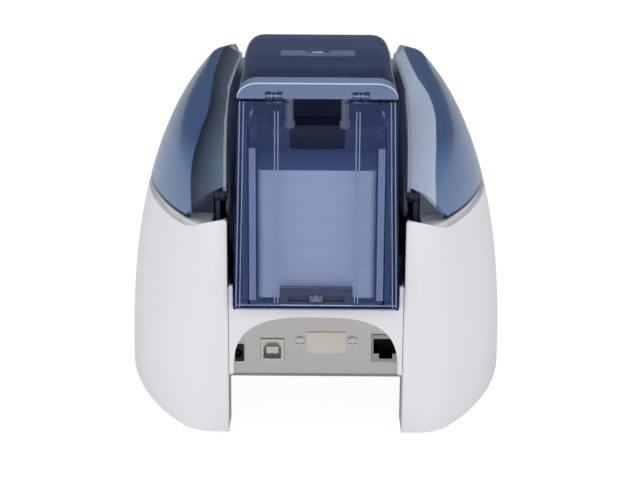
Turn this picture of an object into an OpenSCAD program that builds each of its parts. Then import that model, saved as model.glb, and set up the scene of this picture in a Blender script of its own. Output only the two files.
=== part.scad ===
// Desktop id card printer with a rear card feeder and a hinged cover.
// +Z is up, +Y points to the rear of the printer, the origin lies on the table under its middle.
// Most places are given as a station q, the distance in front of the casing's rear face.

/* [Casing] */
// Widest width of the casing
body_w = 199; // [194:1:211]
// Length of the casing from its rear face to its front face
body_l = 290; // [286:1:296]
// Height that the casing's outline would reach at its crown
crown_h = 182; // [180:1:188]
// Squareness of the cross-section: 2 is an ellipse, more is squarer
section_n = 2.34; // [2.2:0.02:2.5]
// Half length of the ellipse that the plan outline follows
plan_r = 175; // [171:1:182]
// Station of the widest place
belly_q = 144; // [142:1:148]
// How far below the crown the outline levels off
level_drop = 22; // [18:0.5:26]
// Share of the rise that is left above that level
level_share = 0.3; // [0.2:0.05:0.6]
// Radius of the edge round the rear face
rear_edge_r = 8; // [6:0.5:10]
// Radius of the edge round the front face
front_edge_r = 14; // [12:0.5:16]
// How far the crown falls towards the front face
front_droop = 40; // [30:1:50]
// Wall of the lower casing
casing_t = 3.2; // [3:0.1:4]
// Height of the joint line between casing and cover at the rear
seam_h = 97; // [94:0.5:100]
// How much lower the joint line is at the front
seam_drop = 13; // [8:0.5:16]
// Rise of the casing's rim at the rear corners
leg_rise = 7; // [5:0.5:9]
// Gap between the two rear legs
bay_w = 81; // [80.6:0.1:82]
// Depth of the bay between the rear legs
bay_d = 20; // [18:0.5:24]
// Height of the rubber feet under the casing
foot_h = 1.5; // [1:0.1:3]
// Diameter of a rubber foot
foot_d = 9; // [7:0.5:11]

/* [Cover] */
// Wall of the clear cover wings
cover_t = 2.2; // [2:0.1:2.4]
// Height of the shadow gap between casing and cover
cover_gap = 4; // [3:0.1:5]
// Thickness of the upright cheeks beside the feeder
cheek_t = 1.5; // [1.2:0.1:2]
// Height of the cover's middle valley behind the feeder
valley_h = 158; // [154:1:160]
// Station of the cover hinge
hinge_q = 12; // [11:0.5:13]
// Height of the cover hinge
hinge_h = 115; // [114:0.5:117]
// Radius of the hinge pins
pin_r = 2; // [1.5:0.1:2.4]
// Radius of the swing that clears the feeder
swing_r = 106; // [105.6:0.1:107]

/* [Card feeder] */
// Length of a card
card_l = 85.6; // [85:0.1:86]
// Width of a card
card_w = 54; // [53.5:0.1:54.2]
// Thickness of a card
card_t = 0.76; // [0.7:0.01:0.8]
// Number of cards in the feeder
card_n = 79; // [60:1:80]
// Width of the feeder at its floor
feeder_floor_w = 76; // [75:0.1:77]
// Width of the feeder at its rim
feeder_rim_w = 71.2; // [70.6:0.1:72]
// Height of the feeder's underside
feeder_h = 63; // [62:0.5:64]
// Height of the feeder's rim
rim_h = 160.2; // [159.6:0.1:161]
// How far the feeder stands out behind the casing
feeder_out = 4; // [3:0.5:5]
// Wall of the feeder
feeder_t = 2.2; // [2:0.1:2.6]
// Height of the lid's top at its rear edge
lid_rear_h = 168; // [167:0.5:170]
// Height of the lid's top where it levels out
lid_h = 177.3; // [176:0.1:178.5]
// Corner radius of the lid, seen from behind
lid_corner_r = 9; // [7:0.5:10]
// Thickness of the card weight
weight_t = 11; // [9:0.5:12]

/* [Rear panel] */
// Station of the connector plate's rear face
plate_q = 15; // [13:0.5:17]
// Thickness of the connector plate
plate_t = 1.2; // [1:0.1:1.5]
// Height of the arch in the rear bridge
arch_h = 58; // [56:0.5:59]
// Height at which the arch meets the legs
arch_foot_h = 30; // [28:0.5:32]
// Height of the base plate's underside
base_h = 24; // [22:0.5:25]
// Thickness of the base plate
base_t = 1.5; // [1.2:0.1:1.6]
// Spacing of the serial port's screws
serial_pitch = 25; // [24.9:0.1:25.1]

/* [Card path] */
// Height of the card path
path_h = 67; // [66.8:0.1:67.2]
// Radius of the drive rollers
roller_r = 7; // [6.6:0.1:7.2]
// Radius of the feed roller under the card stack
feed_r = 10; // [9.5:0.1:10.2]
// Radius of the pinch rollers
pinch_r = 5; // [4.6:0.1:5.2]
// Radius of the roller shafts
shaft_r = 3; // [2.8:0.1:3.2]
// Running clearance of the shafts
shaft_fit = 0.05; // [0.03:0.01:0.08]
// Thickness of the mechanism's side plates
side_t = 2; // [1.6:0.1:2.4]
// Inside distance between the side plates
inside_w = 68; // [67.5:0.1:69]

/* [Output tray] */
// How far the tray reaches in front of the casing
tray_l = 76; // [70:1:80]
// Width of the tray
tray_w = 64; // [62:0.5:66]
// Height of the tray's floor underside
tray_h = 46; // [45:0.5:48]

/* [Hidden] */
$fn = 64;
loft_n = 12;
mid_n = 14;
total_l = feeder_out + body_l + tray_l;
rear_y = total_l / 2 - feeder_out;
eps = 0.01;
clear = 0.3;

// hinge ease of the joint line and the notch behind the hinge
seam_start_q = 60;
leg_rise_l = 22;
notch_l = 22;
notch_soft = 3;

// lip of the casing that the cover closes over
lip_gap = 0.5;
lip_t = 2;
lip_up = 5;
lip_q = 32;
lip_end = 18;

// bay in the cover that the feeder stands in
bay_rear_half = 41;
bay_mid_half = 38.6;
bay_mid_q = 105;
valley_half = 46;
valley_widen_l = 50;
spine_t = 2.5;

// feeder
feeder_q1 = feeder_out + card_l + 2.4;
card_q = 3;
floor_t = 2;
wall_half = 30.2;
stack_h = card_n * card_t;
weight_q = 43.5;
weight_l = 42;
weight_half = 29.7;
post_x = 13.3;
post_r = 1.9;
post_h = 27;
notch_half = 12.3;
notch_h = 138;
lid_fit = 0.6;
lid_top_t = 2.4;
lid_level_q = 64;
lid_hinge_q = -1.6;
lid_hinge_h = rim_h + 1.6;
barrel_r = 1.7;
barrel_x = 15.8;
barrel_l = 2.2;
barrel_gap = 0.2;
knuckle_x = barrel_x + barrel_l + barrel_gap;
barrel_x1 = knuckle_x + barrel_l + barrel_gap;
lid_ease_r = 3.3;
lid_pin_r = 0.8;

// rear panel
bridge_t = 3;
bridge_half = bay_w / 2 - 0.2;
bridge_post_h = 72.8;
arch_half = 38.3;
board_h = base_h + base_t + 4.5;
board_t = 1.6;
port_h = board_h + board_t;
serial_x = -4.9;
serial_h = 41;

// mechanism stations
feed_q = 70;
clean_q = 105;
in_q = 130;
platen_q = 182;
out_q = 232;
exit_q = 272;
drive_h = path_h - roller_r;
feed_h = path_h - clear - feed_r;
pinch_h = path_h + 0.9 + pinch_r;
clean_r = 6.5;
clean_h = path_h + 0.9 + clean_r;
supply_q = 146;
takeup_q = 218;
spool_h = 94;
spindle_r = 4;
side_x = inside_w / 2;
pulley_r = 6;
belt_t = 1.2;
belt_fit = 0.08;
belt_w = 4;
head_q = platen_q;

// a box given by its spans across, along the stations and in height
module block(x0, x1, q0, q1, z0, z1) {
    translate([x0, rear_y - q1, z0]) cube([x1 - x0, q1 - q0, z1 - z0]);
}

// a rod across the printer
module rod(q, z, r, x0, x1) {
    translate([x0, rear_y - q, z]) rotate([0, 90, 0]) cylinder(h = x1 - x0, r = r);
}

// a side-view outline in [q, z], extruded across from x0 to x1
module side(x0, x1) {
    translate([x0, rear_y, 0]) rotate([90, 0, 90]) linear_extrude(x1 - x0) mirror([1, 0]) children();
}

// a rear-view outline in [x, z], extruded forward from station q0 to q1
module rear(q0, q1) {
    translate([0, rear_y - q0, 0]) rotate([90, 0, 0]) linear_extrude(q1 - q0) children();
}

// a plan outline in [x, q], extruded up from z0 to z1
module plan(z0, z1) {
    translate([0, rear_y, z0]) linear_extrude(z1 - z0) mirror([0, 1]) children();
}

module both() {
    children();
    mirror([1, 0, 0]) children();
}

// a rectangle with round corners, centred
module round_rect(w, l, r) {
    square([w - 2 * r, l], center = true);
    square([w, l - 2 * r], center = true);
    for (x = [-1, 1], y = [-1, 1]) translate([x * (w / 2 - r), y * (l / 2 - r)]) circle(r);
}

// ---- the casing's outer form ----

function ease(u) = let (c = min(1, max(0, u))) c * c * (3 - 2 * c);
function half_w(q) = body_w / 2 * sqrt(1 - pow((q - belly_q) / plan_r, 2));
function crown(q) = crown_h - front_droop * pow(max(0, q - belly_q) / (body_l - belly_q), 2);
function round_in(s, r) = s < r ? r - sqrt(max(0, r * r - (r - s) * (r - s))) : 0;
function edge_in(q, t) = round_in(q - t, max(0.5, rear_edge_r - t))
    + round_in(body_l - t - q, max(0.5, front_edge_r - t));

// stations of a form that lies t inside the outer face, from front to rear
function stations(t) =
    let (r0 = max(0.5, rear_edge_r - t), r1 = max(0.5, front_edge_r - t))
    concat([for (a = [0:22.5:90]) body_l - t - r1 * (1 - cos(a))],
        [for (i = [1:mid_n - 1]) let (a = t + r0, b = body_l - t - r1) b - (b - a) * i / mid_n],
        [for (a = [90:-22.5:0]) t + r0 * (1 - cos(a))]);

// a height on the outline that would reach h, levelled off towards its crown
function levelled(z, h) = let (k = h - level_drop) z < k ? z : k + level_share * (z - k);

// the cross-section at station q, from the right foot over the crown to the left foot
function section(q, t) =
    let (w = half_w(q) - t - edge_in(q, t), h = crown(q) - t - edge_in(q, t),
        quarter = [for (i = [0:loft_n]) let (a = 90 * i / loft_n)
            [w * pow(cos(a), 2 / section_n), levelled(h * pow(sin(a), 2 / section_n), h)]])
    concat([for (p = quarter) [p[0], rear_y - q, p[1]]],
        [for (i = [loft_n - 1:-1:0]) [-quarter[i][0], rear_y - q, quarter[i][1]]]);

// skin over rings of equal length, listed from front to rear
module loft(rings) {
    k = len(rings[0]);
    last = (len(rings) - 1) * k;
    polyhedron([for (ring = rings) each ring], concat(
        [[for (i = [k - 1:-1:0]) i], [for (i = [0:k - 1]) last + i]],
        [for (j = [0:len(rings) - 2], i = [0:k - 1]) let (a = j * k + i, b = j * k + (i + 1) % k) [a, b, b + k]],
        [for (j = [0:len(rings) - 2], i = [0:k - 1]) let (a = j * k + i, b = j * k + (i + 1) % k) [a, b + k, a + k]]));
}

module pebble(t = 0) {
    loft([for (q = stations(t)) section(q, t)]);
}

// ---- side-view lines ----

function seam_z(q) = seam_h - seam_drop * ease((q - seam_start_q) / (body_l - seam_start_q));
function rim_z(q) = seam_z(q) + leg_rise * pow(max(0, 1 - max(0, q) / leg_rise_l), 2);
function notch_z(q) = let (u = max(0, notch_l - q)) sqrt(u * u + notch_soft * notch_soft) - notch_soft;
function edge_z(q) = seam_z(q) + cover_gap + notch_z(q);
function valley_z(q) = let (u = (q - bay_mid_q) / (body_l - bay_mid_q + 8), z0 = seam_z(body_l))
    min(crown(q) - level_drop + 2, z0 + (valley_h - z0) * sqrt(max(0, 1 - u * u)));
line_q = [each [-4:2:26], each [36:16:body_l + 10]];
function bay_half(q) = q < bay_mid_q ? bay_rear_half - (bay_rear_half - bay_mid_half) * q / bay_mid_q
    : bay_mid_half + (valley_half - bay_mid_half) * ease((q - bay_mid_q - 3) / valley_widen_l);

// all below the casing's rim, down to the foot line
module below_rim() {
    polygon(concat([for (q = line_q) [q, rim_z(q)]], [[body_l + 20, foot_h], [-10, foot_h]]));
}

// all above the cover's lower edge
module above_edge() {
    polygon(concat([for (q = line_q) [q, edge_z(q)]], [[body_l + 20, crown_h + 10], [-10, crown_h + 10]]));
}

// the band of the casing's inner lip
module lip_band() {
    qs = [for (q = line_q) if (q >= lip_q) q];
    polygon(concat([for (q = qs) [q, seam_z(q) + cover_gap + lip_up]],
        [for (i = [len(qs) - 1:-1:0]) [qs[i], seam_z(qs[i]) - 8]]));
}

// ---- casing ----

module body_shell() {
    color("#f1f2f0") {
        difference() {
            intersection() {
                pebble();
                side(-body_w, body_w) below_rim();
            }
            pebble(casing_t);
            block(-bay_w / 2, bay_w / 2, -1, bay_d, -1, crown_h);
            fascia_cut();
        }
        difference() {
            intersection() {
                pebble(cover_t + lip_gap);
                side(-body_w, body_w) lip_band();
            }
            pebble(cover_t + lip_gap + lip_t);
            block(-body_w, body_w, body_l - lip_end, body_l + 1, seam_h - 40, crown_h);
        }
        both() intersection() {
            block(bay_w / 2, bay_w / 2 + 2.2, 0.4, bay_d, foot_h, crown_h);
            side(0, body_w) below_rim();
        }
        intersection() {
            pebble(1);
            union() {
                both() block(bay_w / 2, body_w, 1, 25, foot_h, foot_h + 2.5);
                block(-body_w, body_w, body_l - 26, body_l, foot_h, foot_h + 2.5);
            }
        }
    }
}

fascia_half = 34;
fascia_h0 = tray_h - 4;
module fascia_cut() {
    block(-fascia_half, fascia_half, body_l - 20, body_l + 1, fascia_h0, seam_h + 20);
}

foot_places = [[bay_w / 2 + 7, 10], [34, body_l - 14]];
module rubber_feet() {
    color("#2c2d2f") both() for (p = foot_places) translate([p[0], rear_y - p[1], 0]) {
        cylinder(h = foot_h, d1 = foot_d - 1, d2 = foot_d);
    }
}

module base_plate() {
    qs = [for (i = [0:14]) bay_d + 2 + (body_l - bay_d - 22) * i / 14];
    inset = casing_t + 1.5;
    color("#b9bcbf") difference() {
        plan(base_h, base_h + base_t) {
            polygon(concat([for (q = qs) [half_w(q) - inset - 2.5, q]],
                [for (i = [14:-1:0]) [-(half_w(qs[i]) - inset - 2.5), qs[i]]]));
            translate([-bay_w / 2 + 0.3, plate_q]) square([bay_w - 0.6, bay_d + 4 - plate_q]);
        }
        for (x = [-60, -20, 20, 60], q = [90, 130, 170, 210]) translate([x, rear_y - q, base_h - 1]) {
            cylinder(h = base_t + 2, r = 4);
        }
    }
}

// ---- rear panel ----

// the arch opening, seen from behind, grown by g
module arch(g = 0) {
    w = arch_half + g;
    h = arch_h - arch_foot_h + g;
    polygon(concat([for (i = [-16:16]) let (a = 90 + 90 * i / 16) [w * sign(cos(a)) * pow(abs(cos(a)), 2 / 3),
        arch_foot_h + h * pow(max(0, sin(a)), 2 / 3)]], [[-w, arch_foot_h - 8], [w, arch_foot_h - 8]]));
}

module rear_bridge() {
    color("#eeefed") {
        rear(0.6, 0.6 + bridge_t) difference() {
            union() {
                translate([-bridge_half, arch_foot_h]) square([2 * bridge_half, feeder_h - 0.3 - arch_foot_h]);
                for (x = [-bridge_half, arch_half + 0.2]) translate([x, arch_foot_h]) {
                    square([bridge_half - arch_half - 0.2, bridge_post_h - arch_foot_h]);
                }
            }
            arch();
        }
        rear(0.6 + bridge_t - eps, plate_q - 2) intersection() {
            difference() {
                arch(1.5);
                arch();
            }
            translate([-bridge_half, arch_foot_h]) square([2 * bridge_half, 60]);
        }
    }
}

module port_hole(x0, x1, z0, z1) {
    block(x0, x1, plate_q - 1, plate_q + plate_t + 1, z0, z1);
}

usb_x = 20.6;
usb_w = 11;
usb_h = 11;
lan_x = -33.2;
lan_w = 13.4;
lan_h = 13.4;
inlet_x = 37;
inlet_w = 5.8;
inlet_h = 8;
port_fit = 0.15;
module connector_plate() {
    color("#c9cccf") difference() {
        block(-bay_w / 2 + 0.3, bay_w / 2 - 0.3, plate_q, plate_q + plate_t, base_h + base_t, feeder_h - 0.5);
        port_hole(usb_x - usb_w / 2 - port_fit, usb_x + usb_w / 2 + port_fit, port_h - port_fit, port_h + usb_h + port_fit);
        port_hole(lan_x - lan_w / 2 - port_fit, lan_x + lan_w / 2 + port_fit, port_h - port_fit, port_h + lan_h + port_fit);
        port_hole(inlet_x - inlet_w / 2 - port_fit, inlet_x + inlet_w / 2 + port_fit, port_h - port_fit,
            port_h + inlet_h + port_fit);
        for (s = [-1, 1]) translate([serial_x + s * serial_pitch / 2, rear_y - plate_q + 1, serial_h]) {
            rotate([90, 0, 0]) cylinder(h = plate_t + 2, r = 1.55);
        }
    }
}

module usb_port() {
    color("#aeb2b6") difference() {
        block(usb_x - usb_w / 2, usb_x + usb_w / 2, plate_q - 1, plate_q + 15, port_h, port_h + usb_h);
        rear(plate_q - 2, plate_q + 9) translate([usb_x, port_h + 1.4]) {
            polygon([[-4.2, 0], [4.2, 0], [4.2, 5.6], [2.6, 8.2], [-2.6, 8.2], [-4.2, 5.6]]);
        }
    }
    color("#d9d6c8") block(usb_x - 2.8, usb_x + 2.8, plate_q + 0.5, plate_q + 9.5, port_h + 3.6, port_h + 6.8);
}

module ethernet_port() {
    color("#9ea2a6") difference() {
        block(lan_x - lan_w / 2, lan_x + lan_w / 2, plate_q - 0.8, plate_q + 17, port_h, port_h + lan_h);
        rear(plate_q - 2, plate_q + 12) translate([lan_x, port_h + 1.6]) {
            translate([-5.9, 2.6]) square([11.8, 7.4]);
            translate([-3.2, 0]) square([6.4, 3]);
        }
    }
    color("#c8a24a") for (i = [0:7]) {
        x = lan_x - 3.57 + 1.02 * i;
        block(x - 0.2, x + 0.2, plate_q + 2, plate_q + 12 + eps, port_h + 10.2, port_h + 11.6 + eps);
    }
}

module power_inlet() {
    color("#232427") difference() {
        block(inlet_x - inlet_w / 2, inlet_x + inlet_w / 2, plate_q - 1.2, plate_q + 12, port_h, port_h + inlet_h);
        translate([inlet_x, rear_y - plate_q + 3, port_h + inlet_h / 2]) rotate([90, 0, 0]) cylinder(h = 11, r = 2.1);
    }
    color("#c5c8cb") translate([inlet_x, rear_y - plate_q, port_h + inlet_h / 2]) {
        rotate([90, 0, 0]) cylinder(h = 8 + eps, r = 0.7);
    }
}

module serial_blank() {
    color("#d8d2bd") rear(plate_q - 0.8, plate_q) translate([serial_x, serial_h]) {
        polygon([[-9.6, 5.1], [9.6, 5.1], [9.4, -2.6], [8.4, -4.6], [6.8, -5.2],
            [-6.8, -5.2], [-8.4, -4.6], [-9.4, -2.6]]);
    }
}

module serial_screws() {
    color("#d4d6d8") for (s = [-1, 1]) translate([serial_x + s * serial_pitch / 2, rear_y - plate_q, serial_h]) {
        rotate([90, 0, 0]) difference() {
            union() {
                translate([0, 0, -1.3]) cylinder(h = 1.3, r = 2.6);
                cylinder(h = plate_t + 4, r = 1.5);
            }
            translate([-2, -0.35, -1.5]) cube([4, 0.7, 0.9]);
            translate([-0.35, -2, -1.5]) cube([0.7, 4, 0.9]);
        }
    }
}

board_q0 = plate_q + plate_t + 0.3;
board_q1 = feed_q - 10;
board_half = bay_w / 2 - 0.8;
module main_board() {
    color("#1f6b45") block(-board_half, board_half, board_q0, board_q1, board_h, port_h);
    color("#b9bcbf") for (x = [-board_half + 5, board_half - 5], q = [bay_d + 5, board_q1 - 5]) {
        translate([x, rear_y - q, base_h + base_t]) cylinder(h = board_h - base_h - base_t + eps, r = 3);
    }
}

module board_chips() {
    color("#26272a") {
        block(-14, 2, 42, 56, port_h, port_h + 1.6);
        block(12, 22, 44, 54, port_h, port_h + 1.4);
        block(-34, -24, 44, 56, port_h, port_h + 2);
    }
    color("#31506e") for (x = [28, 36]) translate([x, rear_y - 40, port_h]) cylinder(h = 10, r = 3);
}

// ---- mechanism frame ----

// outline of a side plate, its lower edge on the base plate
module side_outline() {
    z0 = base_h + base_t;
    polygon([[feed_q - 9, z0], [exit_q + 8, z0], [exit_q + 8, 78], [out_q + 18, 82], [takeup_q + 20, spool_h + 12],
        [takeup_q - 13, spool_h + 12], [takeup_q - 17, 86], [supply_q + 18, 86], [supply_q + 14, spool_h + 12],
        [supply_q - 15, spool_h + 12], [in_q - 9, 90], [clean_q - 11, 86], [clean_q - 13, feeder_h - 1.5],
        [feed_q - 9, feeder_h - 1.5]]);
}

// a side plate with its shaft bores and the open slots that the ribbon drops into
module side_plate(x0) {
    bore = shaft_r + shaft_fit;
    x1 = x0 + side_t;
    slot_r = spindle_r + shaft_fit;
    difference() {
        side(x0, x1) side_outline();
        rod(feed_q, feed_h, bore, x0 - 1, x1 + 1);
        for (q = [in_q, platen_q, out_q, exit_q]) rod(q, drive_h, bore, x0 - 1, x1 + 1);
        for (q = [in_q, out_q, exit_q]) rod(q, pinch_h, shaft_r / 2 + shaft_fit, x0 - 1, x1 + 1);
        rod(clean_q, clean_h, shaft_r / 2 + shaft_fit, x0 - 1, x1 + 1);
        for (q = [supply_q, takeup_q]) {
            rod(q, spool_h, slot_r, x0 - 1, x1 + 1);
            block(x0 - 1, x1 + 1, q - slot_r, q + slot_r, spool_h, spool_h + 20);
        }
        for (q = [feed_q + 30, in_q + 26, out_q - 25, exit_q - 20]) rod(q, 40, 7, x0 - 1, x1 + 1);
    }
}

module left_side_plate() {
    color("#b4b8bb") side_plate(side_x);
}

module right_side_plate() {
    color("#b4b8bb") side_plate(-side_x - side_t);
}

frame_inset = 8;
frame_h0 = 74;
frame_q0 = 34;
frame_x0 = valley_half + 3;
frame_x1 = half_w(frame_q0) - 2 * frame_inset;
frame_q1 = 150;
// moulded frame beside the feeder, hollowed from below, with feet down to the base plate
module inner_frame() {
    intersection() {
        pebble(frame_inset);
        difference() {
            block(frame_x0, frame_x1, frame_q0, frame_q1, frame_h0, crown_h);
            block(frame_x0 + 2, frame_x1 - 2, frame_q0 + 3, frame_q1 - 3, frame_h0 - 1, hinge_h - 14);
        }
    }
    for (q = [frame_q0 + 10, frame_q1 - 10]) {
        block(frame_x0, frame_x0 + 2, q - 5, q + 5, base_h + base_t, frame_h0 + eps);
    }
}

module left_inner_frame() {
    color("#22262e") inner_frame();
}

module right_inner_frame() {
    color("#c9ced2") mirror([1, 0, 0]) inner_frame();
}

post_t = 2;
post_x0 = 44.6;
post_head_r = 4.6;
// steel posts that carry the cover's hinge pins
module hinge_posts() {
    color("#2b2d31") both() difference() {
        union() {
            side(post_x0, post_x0 + post_t) polygon([[hinge_q, hinge_h], [hinge_q + post_head_r, hinge_h],
                [hinge_q + post_head_r + 4, 60], [hinge_q + 22, base_h + base_t], [bay_d + 2.5, base_h + base_t],
                [bay_d + 2.5, 40], [hinge_q - post_head_r, 70], [hinge_q - post_head_r, hinge_h - 24],
                [hinge_q, hinge_h - 15]]);
            rod(hinge_q, hinge_h, post_head_r, post_x0, post_x0 + post_t);
        }
        rod(hinge_q, hinge_h, pin_r + shaft_fit, post_x0 - 1, post_x0 + post_t + 1);
    }
}

// ---- card feeder ----

function feeder_half(z) = feeder_floor_w / 2
    + (feeder_rim_w - feeder_floor_w) / 2 * (z - feeder_h) / (rim_h - feeder_h);

// cross-section of the feeder between two heights, its walls leaning in
module feeder_section(z0, z1, t) {
    polygon([[-feeder_half(z0) + t, z0], [feeder_half(z0) - t, z0], [feeder_half(z1) - t, z1], [-feeder_half(z1) + t, z1]]);
}

feeder_q0 = -feeder_out;
module feeder_body() {
    inner_q0 = feeder_q0 + feeder_t;
    inner_q1 = feeder_q1 - feeder_t;
    color([0.35, 0.45, 0.75, 0.6]) {
        difference() {
            intersection() {
                rear(feeder_q0, feeder_q1) feeder_section(feeder_h, rim_h, 0);
                plan(feeder_h - 1, rim_h + 1) translate([0, (feeder_q0 + feeder_q1) / 2]) {
                    round_rect(feeder_floor_w + 6, feeder_q1 - feeder_q0, 5);
                }
            }
            rear(inner_q0, inner_q1) feeder_section(feeder_h + floor_t, rim_h + 1, feeder_t);
            block(-notch_half, notch_half, feeder_q0 - 1, inner_q0 + 1, notch_h, rim_h + 1);
            rod(lid_hinge_q, lid_hinge_h, lid_ease_r, -feeder_floor_w, feeder_floor_w);
            block(-card_w / 2 - 0.8, card_w / 2 + 0.8, inner_q1 - 1, feeder_q1 + 1, path_h - 0.5, path_h + 1.3);
            block(-feed_wide - 1, feed_wide + 1, feed_q - feed_r - 1, feed_q + feed_r + 1, feeder_h - 1, feeder_h + 5);
            block(-gauge_half - 0.1, gauge_half + 0.1, feeder_q0 - 1, inner_q0 + 1, gauge_h0, gauge_h1);
        }
        both() block(wall_half, wall_half + 1.2, inner_q0 - eps, inner_q1 + eps, feeder_h + floor_t - eps, rim_h - 12);
        both() for (x = [17, 18.5]) {
            block(x - 0.35, x + 0.35, inner_q0 - eps, inner_q0 + 1.8, gauge_h1 + 3, rim_h - 5);
        }
        both() for (x = [14, 24]) block(x - 0.8, x + 0.8, 2, feeder_q1 - 4, feeder_h + floor_t - eps, path_h);
        both() for (q = [8, 30]) {
            block(card_w / 2 + 0.3, wall_half + eps, q, q + 1.2, feeder_h + floor_t - eps, rim_h - 14);
        }
        both() difference() {
            union() {
                for (x = [barrel_x, barrel_x1]) {
                    rod(lid_hinge_q, lid_hinge_h, barrel_r, x, x + barrel_l);
                    block(x, x + barrel_l, lid_hinge_q - 0.7, lid_hinge_q + 0.7, rim_h - 5, lid_hinge_h);
                }
            }
            rod(lid_hinge_q, lid_hinge_h, lid_pin_r + shaft_fit, barrel_x - 1, barrel_x1 + barrel_l + 1);
        }
    }
}

feed_wide = 12;
gauge_half = 16.6;
gauge_h0 = feeder_h + 2;
gauge_h1 = gauge_h0 + 8.5;
module gauge_scale() {
    color("#1d2340") difference() {
        union() {
            block(-gauge_half, gauge_half, feeder_q0 + 1.2, 0, gauge_h0, gauge_h1);
            for (i = [-6:6]) if (i != 0) {
                block(i * 2.4 - 0.25, i * 2.4 + 0.25, feeder_q0 + 0.9, feeder_q0 + 1.4, gauge_h1 - 2.6,
                    gauge_h1 - (abs(i) % 2 == 0 ? 0.6 : 1.3));
            }
        }
        block(-gauge_slot, gauge_slot, feeder_q0 + 0.8, feeder_q0 + 2.6, gauge_h0 + 1.6, gauge_h0 + 4.4);
    }
}

gauge_slot = 13;
gauge_travel = 9;
// sliding pointer of the card thickness gauge
module card_gauge() {
    color("#e8e9ee") {
        block(-3, 3, feeder_q0 + 1.1, feeder_q0 + 2.5, gauge_h0 + 1.7, gauge_h0 + 4.3);
        rear(feeder_q0 + 0.1, feeder_q0 + 1.1 + eps) polygon([[-2.4, gauge_h0 + 1.9], [2.4, gauge_h0 + 1.9],
            [0, gauge_h0 + 5.4]]);
    }
}

module card_stack() {
    color("#f4f4f2") plan(path_h, path_h + stack_h) translate([0, card_q + card_l / 2]) round_rect(card_w, card_l, 3.18);
}

weight_h0 = path_h + stack_h;
module card_weight() {
    color("#1c2038") difference() {
        block(-weight_half, weight_half, weight_q, weight_q + weight_l, weight_h0, weight_h0 + weight_t);
        block(-weight_half + 6, weight_half - 6, weight_q + 10, weight_q + weight_l - 6, weight_h0 + 4, weight_h0 + 20);
        both() block(weight_half - 3, weight_half + 1, weight_q + 16, weight_q + 26, weight_h0 + 3, weight_h0 + 20);
    }
}

module weight_posts() {
    color("#d6d8da") both() translate([post_x, rear_y - weight_q - 4, weight_h0 + weight_t]) {
        cylinder(h = post_h - 1, r = post_r);
        cylinder(h = 3, r = post_r + 0.8);
        translate([0, 0, post_h - 1]) cylinder(h = 1, r1 = post_r, r2 = post_r - 0.7);
    }
}

// ---- feeder lid ----

lid_h0 = rim_h + lid_fit;
function lid_z(q) = lid_h - (lid_h - lid_rear_h) * max(0, 1 - (q - feeder_q0) / (lid_level_q - feeder_q0));
// cross-section of the lid at station q: straight sides, a round corner on each side
function lid_section(q, z0, t, drop) =
    let (w = feeder_rim_w / 2 - t, top = lid_z(q) - drop, r = lid_corner_r - t, rz = min(r, 0.9 * (top - z0)),
        half = concat([[w, z0]], [for (a = [0:15:90]) [w - r + r * cos(a), top - rz + rz * sin(a)]]), n = len(half))
    concat([for (p = half) [p[0], rear_y - q, p[1]]], [for (i = [n - 1:-1:0]) [-half[i][0], rear_y - q, half[i][1]]]);

recess_q = 45;
recess_r = 16;
recess_t = 1.6;
module feeder_lid() {
    q0 = feeder_q0;
    q1 = feeder_q1;
    outer = concat([for (a = [0:30:90]) [q1 - 4 * (1 - cos(a)), 4 * (1 - sin(a))]], [[lid_level_q + 6, 0],
        [lid_level_q - 6, 0.4], [30, 0]], [for (a = [90:-30:0]) [q0 + 2 * (1 - cos(a)), 2 * (1 - sin(a))]]);
    color([0.3, 0.38, 0.6, 0.7]) difference() {
        loft([for (s = outer) lid_section(s[0], lid_h0, 0, s[1])]);
        loft([for (q = [q1 - feeder_t, lid_level_q + 6, lid_level_q - 6, 30, q0 + feeder_t])
            lid_section(q, lid_h0 - 1, feeder_t, lid_top_t)]);
        both() block(barrel_x - clear, barrel_x1 + barrel_l + clear, q0 - 1, 3, lid_h0 - 1, lid_hinge_h + barrel_r + 0.5);
        translate([0, rear_y - recess_q, lid_z(recess_q) + recess_r - recess_t]) sphere(recess_r);
    }
}

// the lid's own knuckles, carried by a strap under its top
module lid_knuckles() {
    top = lid_z(3) - lid_top_t - 1;
    color("#cfd3da") both() difference() {
        union() {
            rod(lid_hinge_q, lid_hinge_h, barrel_r, knuckle_x, knuckle_x + barrel_l);
            block(knuckle_x, knuckle_x + barrel_l, lid_hinge_q - 0.2, lid_hinge_q + 1.5, lid_hinge_h, top - 0.3);
            side(knuckle_x, knuckle_x + barrel_l) polygon([[lid_hinge_q - 0.2, top - 1.6], [12, top + 0.1],
                [12, top + 1.4], [lid_hinge_q - 0.2, top - 0.9]]);
        }
        rod(lid_hinge_q, lid_hinge_h, lid_pin_r + shaft_fit, knuckle_x - 1, knuckle_x + barrel_l + 1);
    }
}

module lid_pins() {
    color("#d6d8da") both() rod(lid_hinge_q, lid_hinge_h, lid_pin_r, barrel_x - 0.2, barrel_x1 + barrel_l + 0.2);
}

// fixed deck between the feeder and the cover's valley, its front face struck from the cover hinge
module feeder_nose() {
    color("#c3c7ca") difference() {
        side(-bay_mid_half + 1.4, bay_mid_half - 1.4) intersection() {
            difference() {
                translate([hinge_q, hinge_h]) circle(r = swing_r - 0.6, $fn = 160);
                difference() {
                    translate([hinge_q, hinge_h]) circle(r = swing_r - 3, $fn = 160);
                    translate([0, valley_h - 2.4]) square([200, 60]);
                }
            }
            translate([feeder_q1 + 0.1, seam_h + 4]) square([60, valley_h - seam_h - 4]);
        }
    }
}

// ---- cover ----

bay_q = concat([-6, 0, bay_mid_q, bay_mid_q + 3], [for (i = [1:8]) bay_mid_q + 3 + valley_widen_l * i / 8],
    [body_l + 10]);

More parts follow.
